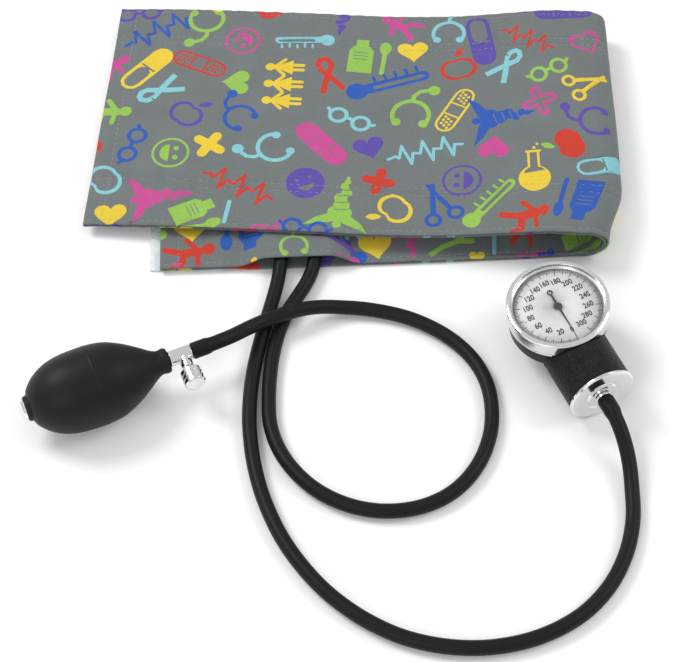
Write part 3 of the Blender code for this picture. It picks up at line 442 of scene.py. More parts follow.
bulbHoseRoute = ((-17.2, 45.8, 4.9), (-17.2, 38.8, 4.9), (-18.6, 31.6, 4.4), (-21.4, 24.8, 3.7),
    (-25.2, 17.6, 3.4), (-30.0, 8.0, 3.4), (-34.1, -4.9, 3.4), (-36.6, -20.1, 3.4), (-37.5, -38.0, 3.4),
    (-36.4, -54.9, 3.4), (-31.4, -69.5, 3.4), (-22.5, -82.3, 3.4), (-11.2, -91.8, 3.4), (2.6, -98.0, 3.4),
    (17.8, -100.0, 3.4), (33.4, -97.2, 3.4), (47.0, -89.4, 3.4), (57.6, -76.4, 3.4), (63.8, -60.3, 3.4),
    (65.2, -44.0, 3.4), (62.6, -29.0, 3.4), (55.6, -15.6, 3.4), (44.2, -4.1, 3.4), (28.5, 4.9, 3.4),
    (11.0, 9.6, 3.7), (-4.8, 10.2, 5.2), (-17.2, 7.6, 8.6), (-28.8, 3.2, 10.7), (-40.0, -2.0, 11.2),
    (-47.6, -7.6, 13.2), (-54.6, -14.2, 16.4), (-62.0, -19.5, 18.5), (-72.6, -24.6, 18.8))


def makeHose(name, route, cadNode):
    # a ring carried along the route; its radius swells smoothly to a collar over the last 9 mm, and each
    # end rolls over a rounded lip into an open bore
    path, length = softCurve(np.array(route) + layout, 420)
    step = np.linspace(0.0, length, 420)
    lip = np.array(((0.0, hose["boreDepth"]), (hose["bore"], hose["boreDepth"]), (hose["bore"], 0.5),
        (hose["bore"] + 0.25, 0.1), (hose["bore"] + 0.7, 0.0), (hose["collarRadius"] - 0.45, 0.0),
        (hose["collarRadius"] - 0.12, 0.14), (hose["collarRadius"], 0.5)))
    middle = np.concatenate([np.linspace(1.0, 16.0, 24), np.linspace(17.0, length - 17.0, 360),
        np.linspace(length - 16.0, length - 1.0, 24)])
    fromEnd = length - middle
    swell = 1.0 - ease((fromEnd - hose["collarLength"] + 2.0) / 3.0)
    radius = hose["radius"] + (hose["collarRadius"] - hose["radius"]) * swell
    startLip = lip.copy()
    startLip[5:, 0] -= hose["collarRadius"] - hose["radius"]
    along = np.concatenate([startLip[:, 1], middle, length - lip[::-1, 1]])
    size = np.concatenate([startLip[:, 0], radius, lip[::-1, 0]])
    centre = np.stack([np.interp(along, step, path[:, k]) for k in range(3)], 1)
    slope = np.gradient(path, axis=0)
    heading = np.stack([np.interp(along, step, slope[:, k]) for k in range(3)], 1)
    heading /= np.linalg.norm(heading, axis=1, keepdims=True)
    side = np.cross(heading, (0.0, 0.0, 1.0))
    side /= np.linalg.norm(side, axis=1, keepdims=True)
    up = np.cross(side, heading)
    angle = np.linspace(0.0, math.tau, hose["sides"], endpoint=False)[None, :, None]
    points = centre[:, None] + size[:, None, None] * (side[:, None] * np.cos(angle) + up[:, None]
        * np.sin(angle))
    piece = addPiece(name, points.reshape(-1, 3) * 0.001, gridFaces(len(along), hose["sides"], False,
        True), hoseRubber)
    fit(piece, "base", cadNode)
    print(name, "length mm", round(length, 1))


makeHose("gaugeHose", gaugeHoseRoute, "gauge_hose")
makeHose("bulbHose", bulbHoseRoute, "bulb_hose")

# bulb and its valves
bulb = {
    "at": (-146.2, -56.3, 18.8), "along": (0.918, 0.395, 0.0), "length": 68.3,
    "profile": ((5.2, 0.0), (5.9, 0.7), (6.2, 1.9), (8.8, 3.2), (12.9, 7.2), (16.3, 13.0), (18.2, 20.0),
     (18.8, 28.5), (18.6, 36.0), (17.3, 43.0), (14.2, 50.0), (10.2, 56.5), (6.9, 61.4), (5.7, 64.2),
     (6.0, 66.8), (5.5, 68.3)),
    "mouldLineAt": 33.0, "mouldLineRise": 0.14, "mouldLineWidth": 0.35,
}
bulbPlace = newPlace(np.array(bulb["at"]) + layout, bulb["along"], (0, 0, 1))
skin = softCurve(bulb["profile"], 150)[0]
ridgeSpots = bulb["mouldLineAt"] + np.linspace(-1.0, 1.0, 11)
heights = np.unique(np.concatenate([skin[:, 1], ridgeSpots]))
radii = np.interp(heights, skin[:, 1], skin[:, 0])
radii = radii + bulb["mouldLineRise"] * np.exp(-((heights - bulb["mouldLineAt"])
    / bulb["mouldLineWidth"]) ** 2)
wall = ([(0.0, 66.0), (3.2, 66.0), (3.2, 68.3)] + list(zip(radii[::-1], heights[::-1])) + [(4.5, 0.0),
    (4.5, 2.6), (0.0, 2.6)])
fit(turnedPiece("squeezeBulb", wall, bulbPlace, bulbRubber, 128), "base", "squeeze_bulb")
endValve = turnedPiece("endValve", ((3.4, 9.0), (3.4, 0.1), (4.9, 0.0), (5.0, -0.5), (4.4, -1.5),
    (3.2, -2.3), (1.7, -2.7), (1.4, -2.4), (1.2, -1.6), (1.2, 1.4), (1.9, 2.2), (1.9, 9.0)), bulbPlace,
    chromePlate, 64, 0.15, True)
fit(endValve, "base", "end_valve_body")

valve = {"length": 11.4, "radius": 3.75, "knobAlong": 7.2, "knobStart": 8.6, "knobLength": 9.2}
rimPlace = further(bulbPlace, bulb["length"])
barrel = ((0.0, 5.6), (2.7, 5.6), (2.7, -4.0), (3.05, -4.0), (3.05, 0.3), (3.4, 0.3),
    (valve["radius"], 0.7), (valve["radius"], 11.0), (3.4, valve["length"]), (1.75, valve["length"]),
    (1.65, 17.6), (1.95, 18.2), (1.7, 19.6), (0.9, 19.6), (0.9, 15.0), (0.0, 15.0))
fit(turnedPiece("valveBarrel", barrel, rimPlace, chromePlate, 72, 0.25), "base", "release_valve_body")
knobPlace = newPlace(further(rimPlace, valve["knobAlong"])["at"], np.cross(bulb["along"], (0, 0, 1.0)),
    (0, 0, 1))
bossLine = ((0.0, 1.0), (2.9, 1.0), (2.9, 7.6), (2.2, 7.9), (1.5, 7.9), (1.5, 5.0), (0.0, 5.0))
fit(turnedPiece("valveBoss", bossLine, knobPlace, chromePlate, 64, 0.3), "base")
knobEnd = valve["knobStart"] + valve["knobLength"]
knobLine = [(0.0, valve["knobStart"]), (3.6, valve["knobStart"]), (5.0, valve["knobStart"] + 1.6)]
for edge in (5.5, 3.2):
    knobLine += [(5.0, knobEnd - edge), (4.55, knobEnd - edge + 0.2), (4.55, knobEnd - edge + 0.6),
        (5.0, knobEnd - edge + 0.8)]
knobLine += [(5.0, knobEnd - 0.7), (4.3, knobEnd), (3.9, knobEnd), (3.7, knobEnd - 0.12),
    (0.0, knobEnd - 0.12)]
fit(turnedPiece("thumbKnob", knobLine, knobPlace, chromePlate, 72, 0.16), "thumb_screw", "thumb_knob")
# each bleed hole is a short black cylinder set nearly flush in the boss: painted shade standing in for the
# hole's depth
for turn in (-0.5, 0.5):  # the two bleed holes beside the knob's boss
    pinPlace = newPlace(knobPlace["at"] + knobPlace["axes"][2] * 4.9, knobPlace["axes"][0]
        * math.cos(turn) + knobPlace["axes"][1] * math.sin(turn), knobPlace["axes"][2])
    holeShade = turnedPiece("bleedHoleShade" + ("Left" if turn < 0 else "Right"), ((0.0, 2.0), (0.55, 2.0),
        (0.55, 2.93), (0.0, 2.93)), pinPlace, handPaint, 20)
    fit(holeShade, "base")
print("bulb and valves made")

# gauge
gauge = {"at": (96.9, -6.7, 16.0), "neck": (0.408, -0.913, 0.0), "roll": 5.0, "drumHeight": 13.5}
neckward = np.array(gauge["neck"]) / np.linalg.norm(gauge["neck"])
level = np.cross(-neckward, (0.0, 0.0, 1.0))
tip = math.radians(gauge["roll"])
sideways = level * math.cos(tip) + np.array((0, 0, 1.0)) * math.sin(tip)
upright = np.array((0, 0, 1.0)) * math.cos(tip) - level * math.sin(tip)
drumSpot = np.array(gauge["at"]) + layout
dialPlace = {"at": drumSpot + upright * gauge["drumHeight"], "axes": np.array((sideways, -neckward, upright))}
neckPlace = {"at": drumSpot, "axes": np.array((upright, np.cross(neckward, upright), neckward))}

glass, tree, shader = newFinish("lensGlass", 0.03, 0.0, Transmission_Weight=1.0, IOR=1.46)
shader.inputs["Base Color"].default_value = (1.0, 1.0, 1.0, 1.0)
path = addNode(tree, "ShaderNodeLightPath")
clear = addNode(tree, "ShaderNodeBsdfTransparent")
either = addNode(tree, "ShaderNodeMixShader", {0: path.outputs["Is Shadow Ray"], 1: shader.outputs[0],
    2: clear.outputs[0]})
tree.links.new(either.outputs[0], tree.nodes["Material Output"].inputs["Surface"])

gaugeParts = (  # name, profile of (radius, height) in mm, finish, sides, corner, closed round, CAD node
    ("gaugeCase", ((22.8, -0.9), (22.8, -13.6), (22.2, -15.2), (20.6, -16.0), (1.4, -16.0), (1.4, -14.8),
     (19.8, -14.8), (21.4, -13.2), (21.4, -2.8), (20.4, -2.4), (20.4, -0.9)), casePaint, 128, 0.7, True,
     "gauge_case"),
    ("bezelRing", ((21.8, 3.3), (22.9, 3.5), (23.7, 3.2), (24.1, 2.5), (24.1, -3.4), (23.8, -3.7),
     (23.1, -3.7), (23.1, 2.5), (21.8, 2.8)), chromePlate, 144, 0.35, True, "bezel_ring"),
    ("caseBand", ((23.6, -4.0), (23.75, -4.3), (23.75, -5.4), (23.5, -5.8), (23.1, -5.8), (23.1, -4.0)),
     chromePlate, 128, 0.15, True, "case_band"),
    ("lensSeat", ((21.9, 1.25), (22.7, 1.25), (22.7, 0.3), (20.9, 0.3), (20.9, 0.6)), satinPlate, 128,
     0.15, True, "lens_seat"),
    ("lens", ((0.0, 2.5), (16.0, 2.45), (22.5, 2.2), (22.5, 1.45), (0.0, 1.45)), glass, 96, 0.1, False,
     "crystal"),
    ("dialFace", ((1.1, -0.05), (22.4, -0.05), (22.4, -0.55), (1.1, -0.55)), dialEnamel, 96, 0.0, True,
     "dial_plate"),
)
for name, profile, finish, sides, corner, closed, node in gaugeParts:
    fit(turnedPiece(name, profile, dialPlace, finish, sides, corner, closed), "base", node)

dial = {"perTwenty": 22.5, "top": 300, "outer": 20.2, "shortMark": 1.5, "midMark": 2.1, "longMark": 2.9,
    "longWide": 0.2, "midWide": 0.17, "shortWide": 0.12, "inkDepth": 0.05, "numberSize": 4.0,
    "numberWidth": 0.78, "numberBold": 0.15, "numberRadius": 13.9, "ringWidth": 0.2}
reading = np.arange(0, dial["top"] + 1, 2)
around = np.radians(-90.0 - reading / 20.0 * dial["perTwenty"])
longOnes, midOnes = reading % 20 == 0, reading % 10 == 0
inward = np.where(longOnes, dial["longMark"], np.where(midOnes, dial["midMark"], dial["shortMark"]))
halfWide = np.where(longOnes, dial["longWide"], np.where(midOnes, dial["midWide"], dial["shortWide"]))
corner = np.array([(a, b, c) for c in (-dial["inkDepth"], 0.0) for a, b in ((0, -1), (1, -1), (1, 1),
    (0, 1))])
radial = dial["outer"] - inward[:, None] * corner[None, :, 0]
across = halfWide[:, None] * corner[None, :, 1]
marks = np.stack([radial * np.cos(around)[:, None] - across * np.sin(around)[:, None],
    radial * np.sin(around)[:, None] + across * np.cos(around)[:, None],
    np.broadcast_to(corner[None, :, 2], radial.shape)], -1).reshape(-1, 3)
cube = np.array(((0, 3, 2, 1), (4, 5, 6, 7), (0, 1, 5, 4), (1, 2, 6, 5), (2, 3, 7, 6), (3, 0, 4, 7)))
markFaces = (np.arange(len(reading))[:, None, None] * 8 + cube[None]).reshape(-1, 4)
fit(addPiece("dialMarks", (dialPlace["at"] + marks @ dialPlace["axes"]) * 0.001, markFaces, dialInk,
    smooth=False), "base")
ringOut = dial["outer"] + dial["ringWidth"]
ringLine = ((dial["outer"], 0.0), (ringOut, 0.0), (ringOut, -dial["inkDepth"]),
    (dial["outer"], -dial["inkDepth"]))
fit(turnedPiece("dialRing", ringLine, dialPlace, dialInk, 128, 0.0, True), "base")
for value in range(0, dial["top"] + 1, 20):
    turn = math.radians(-90.0 - value / 20.0 * dial["perTwenty"])
    text = bpy.data.curves.new("number" + str(value), "FONT")
    text.body = str(value)
    text.size = dial["numberSize"]
    text.align_x, text.align_y = "CENTER", "CENTER"
    text.bevel_depth = dial["numberBold"]
    text.bevel_resolution = 0
    text.space_character = 1.08
    spotAt = (dial["numberRadius"] * math.cos(turn), dial["numberRadius"] * math.sin(turn))
    fit(settleCurve("number" + str(value), text, dialPlace, 0.0, dialInk, spotAt, dial["numberWidth"]),
        "base")
print("dial made")


def roundLine(radius, count, x=0.0, y=0.0, start=0.0, turn=math.tau):
    # points on a circle or a part of one
    angle = start + turn * np.arange(count) / (count if abs(turn) >= math.tau - 0.001 else count - 1)
    return np.stack([x + radius * np.cos(angle), y + radius * np.sin(angle)], 1)


hand = {"tip": -17.8, "height": 0.4, "thick": 0.3, "corner": 0.04}
handParts = {
    "Needle": [[(-0.13, hand["tip"]), (0.13, hand["tip"]), (0.5, -1.6), (-0.5, -1.6)]],
    "Tail": [[(-0.5, 1.5), (0.5, 1.5), (0.42, 7.1), (-0.42, 7.1)]],
    "Ring": [roundLine(1.4, 40, 0.0, 8.2), roundLine(0.8, 32, 0.0, 8.2)],
}
for part, outlines in handParts.items():
    piece = flatPiece("pointer" + part, outlines, dialPlace, hand["height"], hand["thick"],
        hand["corner"], handPaint)
    fit(piece, "pointer", *(["pointer"] if part == "Needle" else []))
fit(turnedPiece("pointerHub", ((0.0, 0.38), (1.9, 0.38), (1.9, 0.72), (1.15, 0.72), (0.95, 1.15),
    (0.0, 1.2)), dialPlace, handPaint, 64, 0.08), "pointer")

neckLine = ((0.0, 12.0), (15.5, 12.0), (15.5, 42.0), (14.2, 42.0), (14.2, 40.5), (0.0, 40.5))
neckDrum = turnedPiece("neckDrum", neckLine, neckPlace, neckLeather, 128, 0.5)
roomLine = ((0.0, 8.0), (24.4, 8.0), (24.4, -6.1), (23.1, -6.1), (23.1, -16.4), (0.0, -16.4))
room = turnedPiece("roomCutter", roomLine, dialPlace, neckLeather, 128)
cut = neckDrum.modifiers.new("room", "BOOLEAN")
cut.operation, cut.solver, cut.object = "DIFFERENCE", "EXACT", room
bpy.context.view_layer.update()
carved = bpy.data.meshes.new_from_object(neckDrum.evaluated_get(bpy.context.evaluated_depsgraph_get()))
neckDrum.modifiers.clear()
neckDrum.data = carved
bpy.data.objects.remove(room, do_unlink=True)
carved.polygons.foreach_set("use_smooth", np.full(len(carved.polygons), True))
carved.set_sharp_from_angle(angle=math.radians(35.0))
fit(neckDrum, "base", "neck_housing")
discLine = ((3.2, 44.3), (7.0, 44.3), (7.6, 43.5), (8.6, 43.5), (9.2, 43.9), (15.2, 43.9), (16.0, 43.4),
    (16.0, 42.6), (15.4, 42.3), (3.2, 42.3))
fit(turnedPiece("neckDisc", discLine, neckPlace, chromePlate, 128, 0.25, True), "base", "neck_disc")
barbLine = ((4.6, 40.9), (4.6, 42.0), (2.9, 42.0), (2.9, 44.7), (3.6, 44.7), (3.6, 45.8), (1.75, 46.1),
    (1.65, 51.4), (1.95, 52.0), (1.6, 53.4), (0.9, 53.4), (0.9, 40.9))
fit(turnedPiece("hoseBarb", barbLine, neckPlace, chromePlate, 64, 0.12, True), "base", "hose_barb")

# the CAD nodes that stay as they are, with their finishes
cadFinishes = (
    (steelWire, "inlet_ball outlet_ball release_screw sector_shaft arbor_pinion hairspring push_rod"),
    (brassSheet, "inlet_retainer outlet_retainer bottom_plate bridge_plate sector_gear capsule"),
    (brassSheet, "movement_post_1 movement_post_2 movement_post_3 pillar_1 pillar_2 pillar_3"),
    (satinPlate, "back_clip clip_rivet_1 clip_rivet_2"),
    (dialEnamel, "dial_screw_1 dial_screw_2"),
    (hookPile, "hook_patch"),
    (loopPile, "loop_patch"),
    (bladderRubber, "bladder"),
    (nylonSeal, "seal_pad"),
    (handPaint, "case_plug"),
)
for material, names in cadFinishes:
    for name in names.split():
        for slot in nodes[name].material_slots:
            slot.material = material
print("gauge made")

# printed cloth
cuff = {
    "width": 146.0, "ply": 1.2, "step": 1.5, "foldX": 121.5, "foldMiddle": 12.5, "foldRadius": 11.9,
    "lowerLeft": -92.0, "flapLeft": -131.0, "foldStart": 116.2, "grid": 3.2, "edgeRound": 0.9,
    "lowerNear": 34.0, "lowerSlope": 0.048, "lowerLean": -0.048, "flapNear": 59.0, "flapSlope": -0.0751,
    "flapLean": 0.0645, "leanFrom": 60.0, "nearPull": 9.0, "bladderRise": 1.7, "mouthRise": 7.3,
    "flapTop": ((-131.0, 7.4), (-112.0, 8.9), (-90.0, 10.2), (-60.0, 11.2), (-27.0, 12.1), (15.0, 12.9),
     (45.0, 15.4), (75.0, 20.3), (100.0, 24.0), (121.5, 25.0)),
    "seamRows": (24.5, 29.0, 121.5, 126.0), "hemRows": (2.7, 143.3), "endHem": 9.0,
    "grooveDepth": 0.28, "puckerRise": 0.22, "puckerLength": 8.5, "slackRise": 0.35,
}
inks = {  # the cloth's grey and the printed colours, in linear light
    "cloth": (0.150, 0.170, 0.170), "yellow": (0.76, 0.55, 0.035), "red": (0.56, 0.036, 0.016),
    "green": (0.27, 0.50, 0.075), "aqua": (0.22, 0.54, 0.60), "blue": (0.018, 0.090, 0.42),
    "purple": (0.100, 0.062, 0.36), "pink": (0.55, 0.058, 0.27),
}
inkNames = list(inks)


def bar(x0, y0, x1, y1, wide):
    # a straight stroke with round ends
    heading = math.atan2(y1 - y0, x1 - x0)
    ends = [roundLine(wide / 2, 6, x1, y1, heading - math.pi / 2, math.pi), roundLine(wide / 2, 6, x0, y0,
        heading + math.pi / 2, math.pi)]
    return np.vstack(ends)


def stroke(line, wide):
    # a line given a width: both sides stand half of it off, along the average of the two nearest normals
    line = np.array(line, float)
    heading = np.gradient(line, axis=0)
    heading /= np.linalg.norm(heading, axis=1, keepdims=True) + 1e-9
    off = np.stack([-heading[:, 1], heading[:, 0]], 1) * wide / 2
    return np.vstack([line + off, (line - off)[::-1]])


def arcLine(radius, start, stop, count, x=0.0, y=0.0):
    # part of a circle between two angles in degrees
    return roundLine(radius, count, x, y, math.radians(start), math.radians(stop - start))


turnAll = np.linspace(0, math.tau, 40, endpoint=False)
heartLine = np.stack([16 * np.sin(turnAll) ** 3, 13 * np.cos(turnAll) - 5 * np.cos(2 * turnAll) - 2
    * np.cos(3 * turnAll) - np.cos(4 * turnAll)], 1) * 0.54
appleLine = np.stack([np.cos(turnAll), np.sin(turnAll)], 1) * (8.6 + 0.9 * np.cos(2 * turnAll) - 1.5
    * np.exp(-((turnAll - math.pi / 2) / 0.35) ** 2) - 0.7 * np.exp(-((turnAll - 4.712) / 0.3) ** 2))[:,
    None]
leafLine = np.array([(0.4, 8.0), (0.6, 10.6), (2.2, 13.2), (5.6, 14.4), (5.4, 11.8), (4.0, 9.6), (1.8, 8.4)])
makers = {"o": roundLine, "bar": bar, "arc": arcLine, "shape": lambda *v: np.array(v).reshape(-1, 2),
    "path": lambda wide, *v: stroke(np.array(v).reshape(-1, 2), wide)}


def draw(words):
    # outlines from "maker and its numbers" with ";" between; after a minus the cloth shows inside
    out = []
    for entry in words.split(";"):
        maker, *numbers = entry.split()
        out.append(("cloth" if maker[0] == "-" else "", makers[maker.lstrip("-")](*map(float, numbers))))
    return out


doll = draw("""o 2.7 16 0 8.6; shape -1.4 6.2 1.4 6.2 2 2.6 5.2 -4 -5.2 -4 -2 2.6; bar -1.2 4.8 -5.6 .6 2;
bar 1.2 4.8 5.6 .6 2; bar -1.7 -3.6 -1.7 -9.6 2.1; bar 1.7 -3.6 1.7 -9.6 2.1""")
beatLine = [(-19, -1), (-15, 0.2), (-13.4, -1.4), (-10.6, 6.2), (-8.0, -6.4), (-6.0, 0.4), (-2.4, -0.6),
    (0.2, 7.0), (2.8, -6.6), (4.6, 0.8), (8.2, -0.2), (10.8, 6.8), (13.2, -6.2), (15.2, 0.6), (19, -0.4)]
bothSides = [(side, x, y) for side in (-1, 1) for x in (0, 1, 2) for y in (-1, 0, 1)]
pictures = {  # each is about 20 mm across; "" is the picture's own ink
    "heart": [("", heartLine)],
    "heartOpen": [("", heartLine), ("cloth", heartLine * 0.74 - (0, 0.2))],
    "apple": [("", appleLine), ("cloth", appleLine * 0.77), ("", leafLine)],
    "appleFull": [("", appleLine), ("green", leafLine)],
    "face": draw("o 9.8 36; -o 8.5 32; o 1.5 14 -3 2.6; o 1.5 14 3 2.6; arc 5.6 188 352 16"),
    "faceFull": draw("o 9.8 36; -o .9 12 -3.4 3; -o .9 12 3.4 3; -arc 4.8 195 345 14"),
    "plaster": draw("bar -10 0 10 0 10.5; -bar -4.2 -3.8 -4.2 3.8 .6; -bar 4.2 -3.8 4.2 3.8 .6")
    + [("cloth", roundLine(0.42, 8, side * (7, 9.2, 11.4)[x], 2.2 * y)) for side, x, y in bothSides],
    "plasterOpen": draw("""bar -9.5 0 9.5 0 10; -bar -9.5 0 9.5 0 7.6;
bar -3.6 -3.6 -3.6 3.6 .9; bar 3.6 -3.6 3.6 3.6 .9""")
    + [("", roundLine(0.8, 8, side * (6.2, 8.4, 10.6)[x] + 0.4 * (1.9 * y), 1.9 * y))
       for side, x, y in bothSides],
    "ribbon": draw("""path 3 -5.4 -10.5 -2.4 -4.2 .6 1 3.4 5.6 3.4 8.8 1.6 10.8 -.8 10.8 -2.6 8.8 -2.8 6.2;
path 3 5.4 -10.5 2.4 -4.2 -.4 1 -2.8 5.6; -bar -.2 4.4 .4 7.6 1.9"""),
    "stethoscope": [("", stroke(arcLine(7.6, -28, 208, 18, 0, -3.4), 1.9))]
    + draw("o 2 16 -5.6 -7.6; o 2 16 5.6 -7.6; path 1.9 0 4 .4 7 2.6 9.6 6.4 10.6; o 2.6 18 8.4 10.6"),
    "glasses": draw("""o 5.3 24 -6.4 0; o 5.3 24 6.4 0; bar -1.6 .4 1.6 .4 2; bar 11 .6 13 2 1.9;
bar -11 .6 -13 2 1.9; -o 3.3 20 -6.4 0; -o 3.3 20 6.4 0"""),
    "pulse": [("", bar(*a, *b, 1.55)) for a, b in zip(beatLine, beatLine[1:])],
    "doll": draw("""o 2.9 16 3.4 8.2; bar 1.6 4.4 -1.6 -1.4 4.6; bar 1.4 4.6 -6.4 4 2.5;
bar 1.4 4 6.6 -.2 2.3; bar -1.6 -1.4 -8.2 -6.4 3.2; bar -1.2 -1.6 2.4 -6 3; bar 2.4 -6 1.6 -11 2.7"""),
    "dollRow": [("", outline * 0.92 + (dx, 0)) for dx in (-11.2, 0.0, 11.2) for _, outline in doll],
    "scissors": draw("""bar -4.2 -4.4 1.6 11.4 2.5; bar 4.2 -4.4 -.4 11.4 2.3; o 4 20 -5.4 -7.4;
o 4 20 5.4 -7.4; -o 2.2 16 -5.4 -7.4; -o 2.2 16 5.4 -7.4"""),
    "bottle": draw("""shape -10 -10 1.4 -10 1.4 3.6 -.4 6.2 -8.2 6.2 -10 3.6;
shape -7.2 5.8 -1.4 5.8 -1.4 10.6 -7.2 10.6; -bar -7.6 -1.6 -1.2 -1.6 .45; -bar -7.6 .4 -1.2 .4 .45;
-bar -7.6 2.4 -1.2 2.4 .45; bar 6.2 -9.4 6.6 2.4 2.2""")
    + [("", np.stack([6.6 + 2.7 * np.cos(turnAll), 6.2 + 3.9 * np.sin(turnAll)], 1))],
    "staff": draw("""bar 0 -13 0 12 1.4; o 1.9 14 0 11.6;
shape -.4 6.4 -4.6 6.6 -9.4 9.6 -13.4 14.2 -8 12.4 -3 11 -.4 9.6;
shape .4 6.4 4.6 6.6 9.4 9.6 13.4 14.2 8 12.4 3 11 .4 9.6; o 2.9 14 -2.2 5.4; o 2.9 14 2.2 5.4;
o 3.4 14 0 1.6; o 2.8 14 1 -2; o 2.3 14 -.8 -5.2; o 1.8 14 .6 -8.2; o 1.3 14 -.2 -10.8""")
    + [("cloth", bar(-2.4, height, 2.4, height + 0.9, 0.45)) for height in (3.4, -0.4, -3.8, -6.8)],
    "flask": draw("""o 8.2 32 0 -5; shape -3.2 1.6 3.2 1.6 3.2 12.4 -3.2 12.4; bar -3.6 12.4 3.6 12.4 1.3;
-shape -1.9 .4 1.9 .4 1.9 11.6 -1.9 11.6; -shape -5.4 -1.6 5.8 -.2 4 1.4 1.9 2.2 -1.9 2.2 -4.4 .6;
o .9 10 .6 14.6; o .8 10 2.4 16.8"""),
    "pill": draw("bar -7.5 0 7.5 0 8.2; -bar -7.5 0 -2.4 0 5.6; -bar .6 -2.9 .6 2.9 .7"),
    "cross": draw("bar -6.4 0 6.4 0 5; bar 0 -6.4 0 6.4 5"),
    "crossOpen": draw("bar -7.4 0 7.4 0 5.6; bar 0 -7.4 0 7.4 5.6; -bar -7 0 7 0 2.2; -bar 0 -7 0 7 2.2"),
    "thermometer": draw("""bar -12 0 12 0 4.6; -bar -6 0 11.6 0 1.7; o 3.9 20 -13 0;
bar -5.4 3 -5.4 5 1.2; bar -1.4 3 -1.4 5 1.2; bar 2.6 3 2.6 5 1.2; bar 6.6 3 6.6 5 1.2;
bar 10.6 3 10.6 5 1.2"""),
    "stick": draw("bar 0 -8 0 8 2.6"),
    "dab": draw("o 4.2 16"),
    "stem": draw("path 2 -9 -2.4 -3 .4 3 1.4 9 .2") + [("", leafLine * 0.8 + (2.0, -6.0))],
}
flapPrint = """glasses purple -121 142 8 1; pulse blue -109 130 32 1.05; pill yellow -112 103 50 1.45;
doll pink -131 103 -20 1; stethoscope green -84 135 -172 1.15; face pink -64 124 135 .95;
thermometer aqua -33 126 184 1; plasterOpen red -85 107 -22 1.05; ribbon aqua -103 88 122 1.05;
heart green -64 95 -90 .92; dollRow yellow -40 95 90 1.02; ribbon red -18 102 20 1.05;
doll green -129 72 -60 1.1; apple purple -88 72 -40 1; stethoscope blue -63 73 50 1.05;
glasses blue -113 51 74 1; face green -93 46 -90 .98; cross yellow -74 52 -30 1.02;
stethoscope aqua -44 50 128 1.15; plaster pink -18 56 -46 1.12; glasses aqua -5 73 -24 1;
dab red -132 50 0 .95; apple aqua -124 28 130 1.05; staff pink -94 18 102 1.15; pulse red -57 27 -24 1.02;
faceFull purple -24 30 24 .98; staff green -5 19 172 1.2; heart yellow -118 6 4 .92;
bottle green -76 6 -62 1.05; stick aqua -61 10 -6 .8; glasses pink -38 0 18 1; glasses blue -22 2 -8 1;
staff purple -13 146 -4 1.1; appleFull red -51 147 40 .8; doll pink 18 139 82 1;
stethoscope aqua 43 137 0 1.05; pill purple 60 127 -78 1.5; pulse red 87 127 -26 .9;
plaster purple 109 146 4 1.15; heartOpen pink 121 124 24 1; bottle green 3 116 -3 1.12;
heart yellow 25 121 6 .92; thermometer blue 15 98 19 1.42; apple red 49 108 16 1;
ribbon aqua 74 109 -34 1.05; glasses green 99 104 26 1.02; scissors yellow 119 95 -62 1;
stethoscope green 26 81 -4 1.22; plasterOpen yellow 48 80 62 1.05; staff blue 73 74 98 1.22;
crossOpen pink 93 83 20 1.02; stethoscope purple 119 70 92 1.1; heart purple 6 55 20 .92;
pulse aqua 34 53 15 1; heart pink 68 54 176 .92; flask yellow 89 38 2 1; appleFull red 108 55 112 1;
pill aqua 124 42 15 1.2; cross red 12 33 -12 .98; apple yellow 21 16 132 1; scissors blue 42 19 24 1.08;
face purple 53 34 90 1; thermometer green 68 20 50 1.15; doll red 85 9 -46 1.15;
bottle blue 112 20 176 1.18; dab purple 86 147 0 .6; dab yellow -80 148 0 .9; dab green 145 2 0 1.5;
heart yellow 151 24 90 .85; cross blue 147 47 25 .8; pulse aqua 152 78 90 .8; ribbon red 150 104 100 .8;
face pink 156 128 90 .8"""
bandPrint = """heart yellow -77 24 4 .98; doll red -78 8 -52 1.12; bottle blue -52 20 176 1.1;
glasses pink -30 27 18 1; scissors purple -5 14 -140 1.1; stethoscope green -27 9 4 .85;
ribbon aqua 1 20 10 .7; heart yellow 13 10 8 .95; staff pink 30 15 4 1.0; stem green 50 8 10 1.3;
stick aqua 71 9 -4 .8; glasses pink 91 0 4 .7; doll red 86 16 10 .9; dab green -92 21 0 .8;
dab blue 103 1 0 .8; heart yellow 62 1 0 .45; bottle green 122 7 -64 .95; dab blue 5 3 0 .9;
dab yellow -46 0.6 0 .35; pill pink -1 0 4 .5; dab pink -84 2 0 .4; heart purple 96 0 0 .4;
dab yellow 116 14 0 .7"""


def readPrint(words, mirror=False, floor=-50.0):
    # every entry "picture ink x across turn size" as outlines in mm on the cloth
    out = []
    for entry in words.split(";"):
        kind, ink, x, across, turn, size = entry.split()
        turn = math.radians(float(turn))
        spin = np.array(((math.cos(turn), math.sin(turn)), (-math.sin(turn), math.cos(turn)))) * float(size)
        at = np.array((float(x), cuff["width"] - float(across) if mirror else float(across)))
        if at[1] < floor:
            continue
        for own, outline in pictures[kind]:
            out.append((own or ink, outline @ spin + at))
    return out


def flapTopAt(x):
    # height of the flap's upper side: a smooth curve through the given spots
    table = np.array(cuff["flapTop"])
    slopes = np.gradient(table[:, 1], table[:, 0])
    k = np.clip(np.searchsorted(table[:, 0], x) - 1, 0, len(table) - 2)
    wide = table[k + 1, 0] - table[k, 0]
    t = np.clip((x - table[k, 0]) / wide, 0, 1)
    return ((1 + 2 * t) * (1 - t) ** 2 * table[k, 1] + t * (1 - t) ** 2 * wide * slopes[k] + t * t
        * (3 - 2 * t) * table[k + 1, 1] + t * t * (t - 1) * wide * slopes[k + 1])


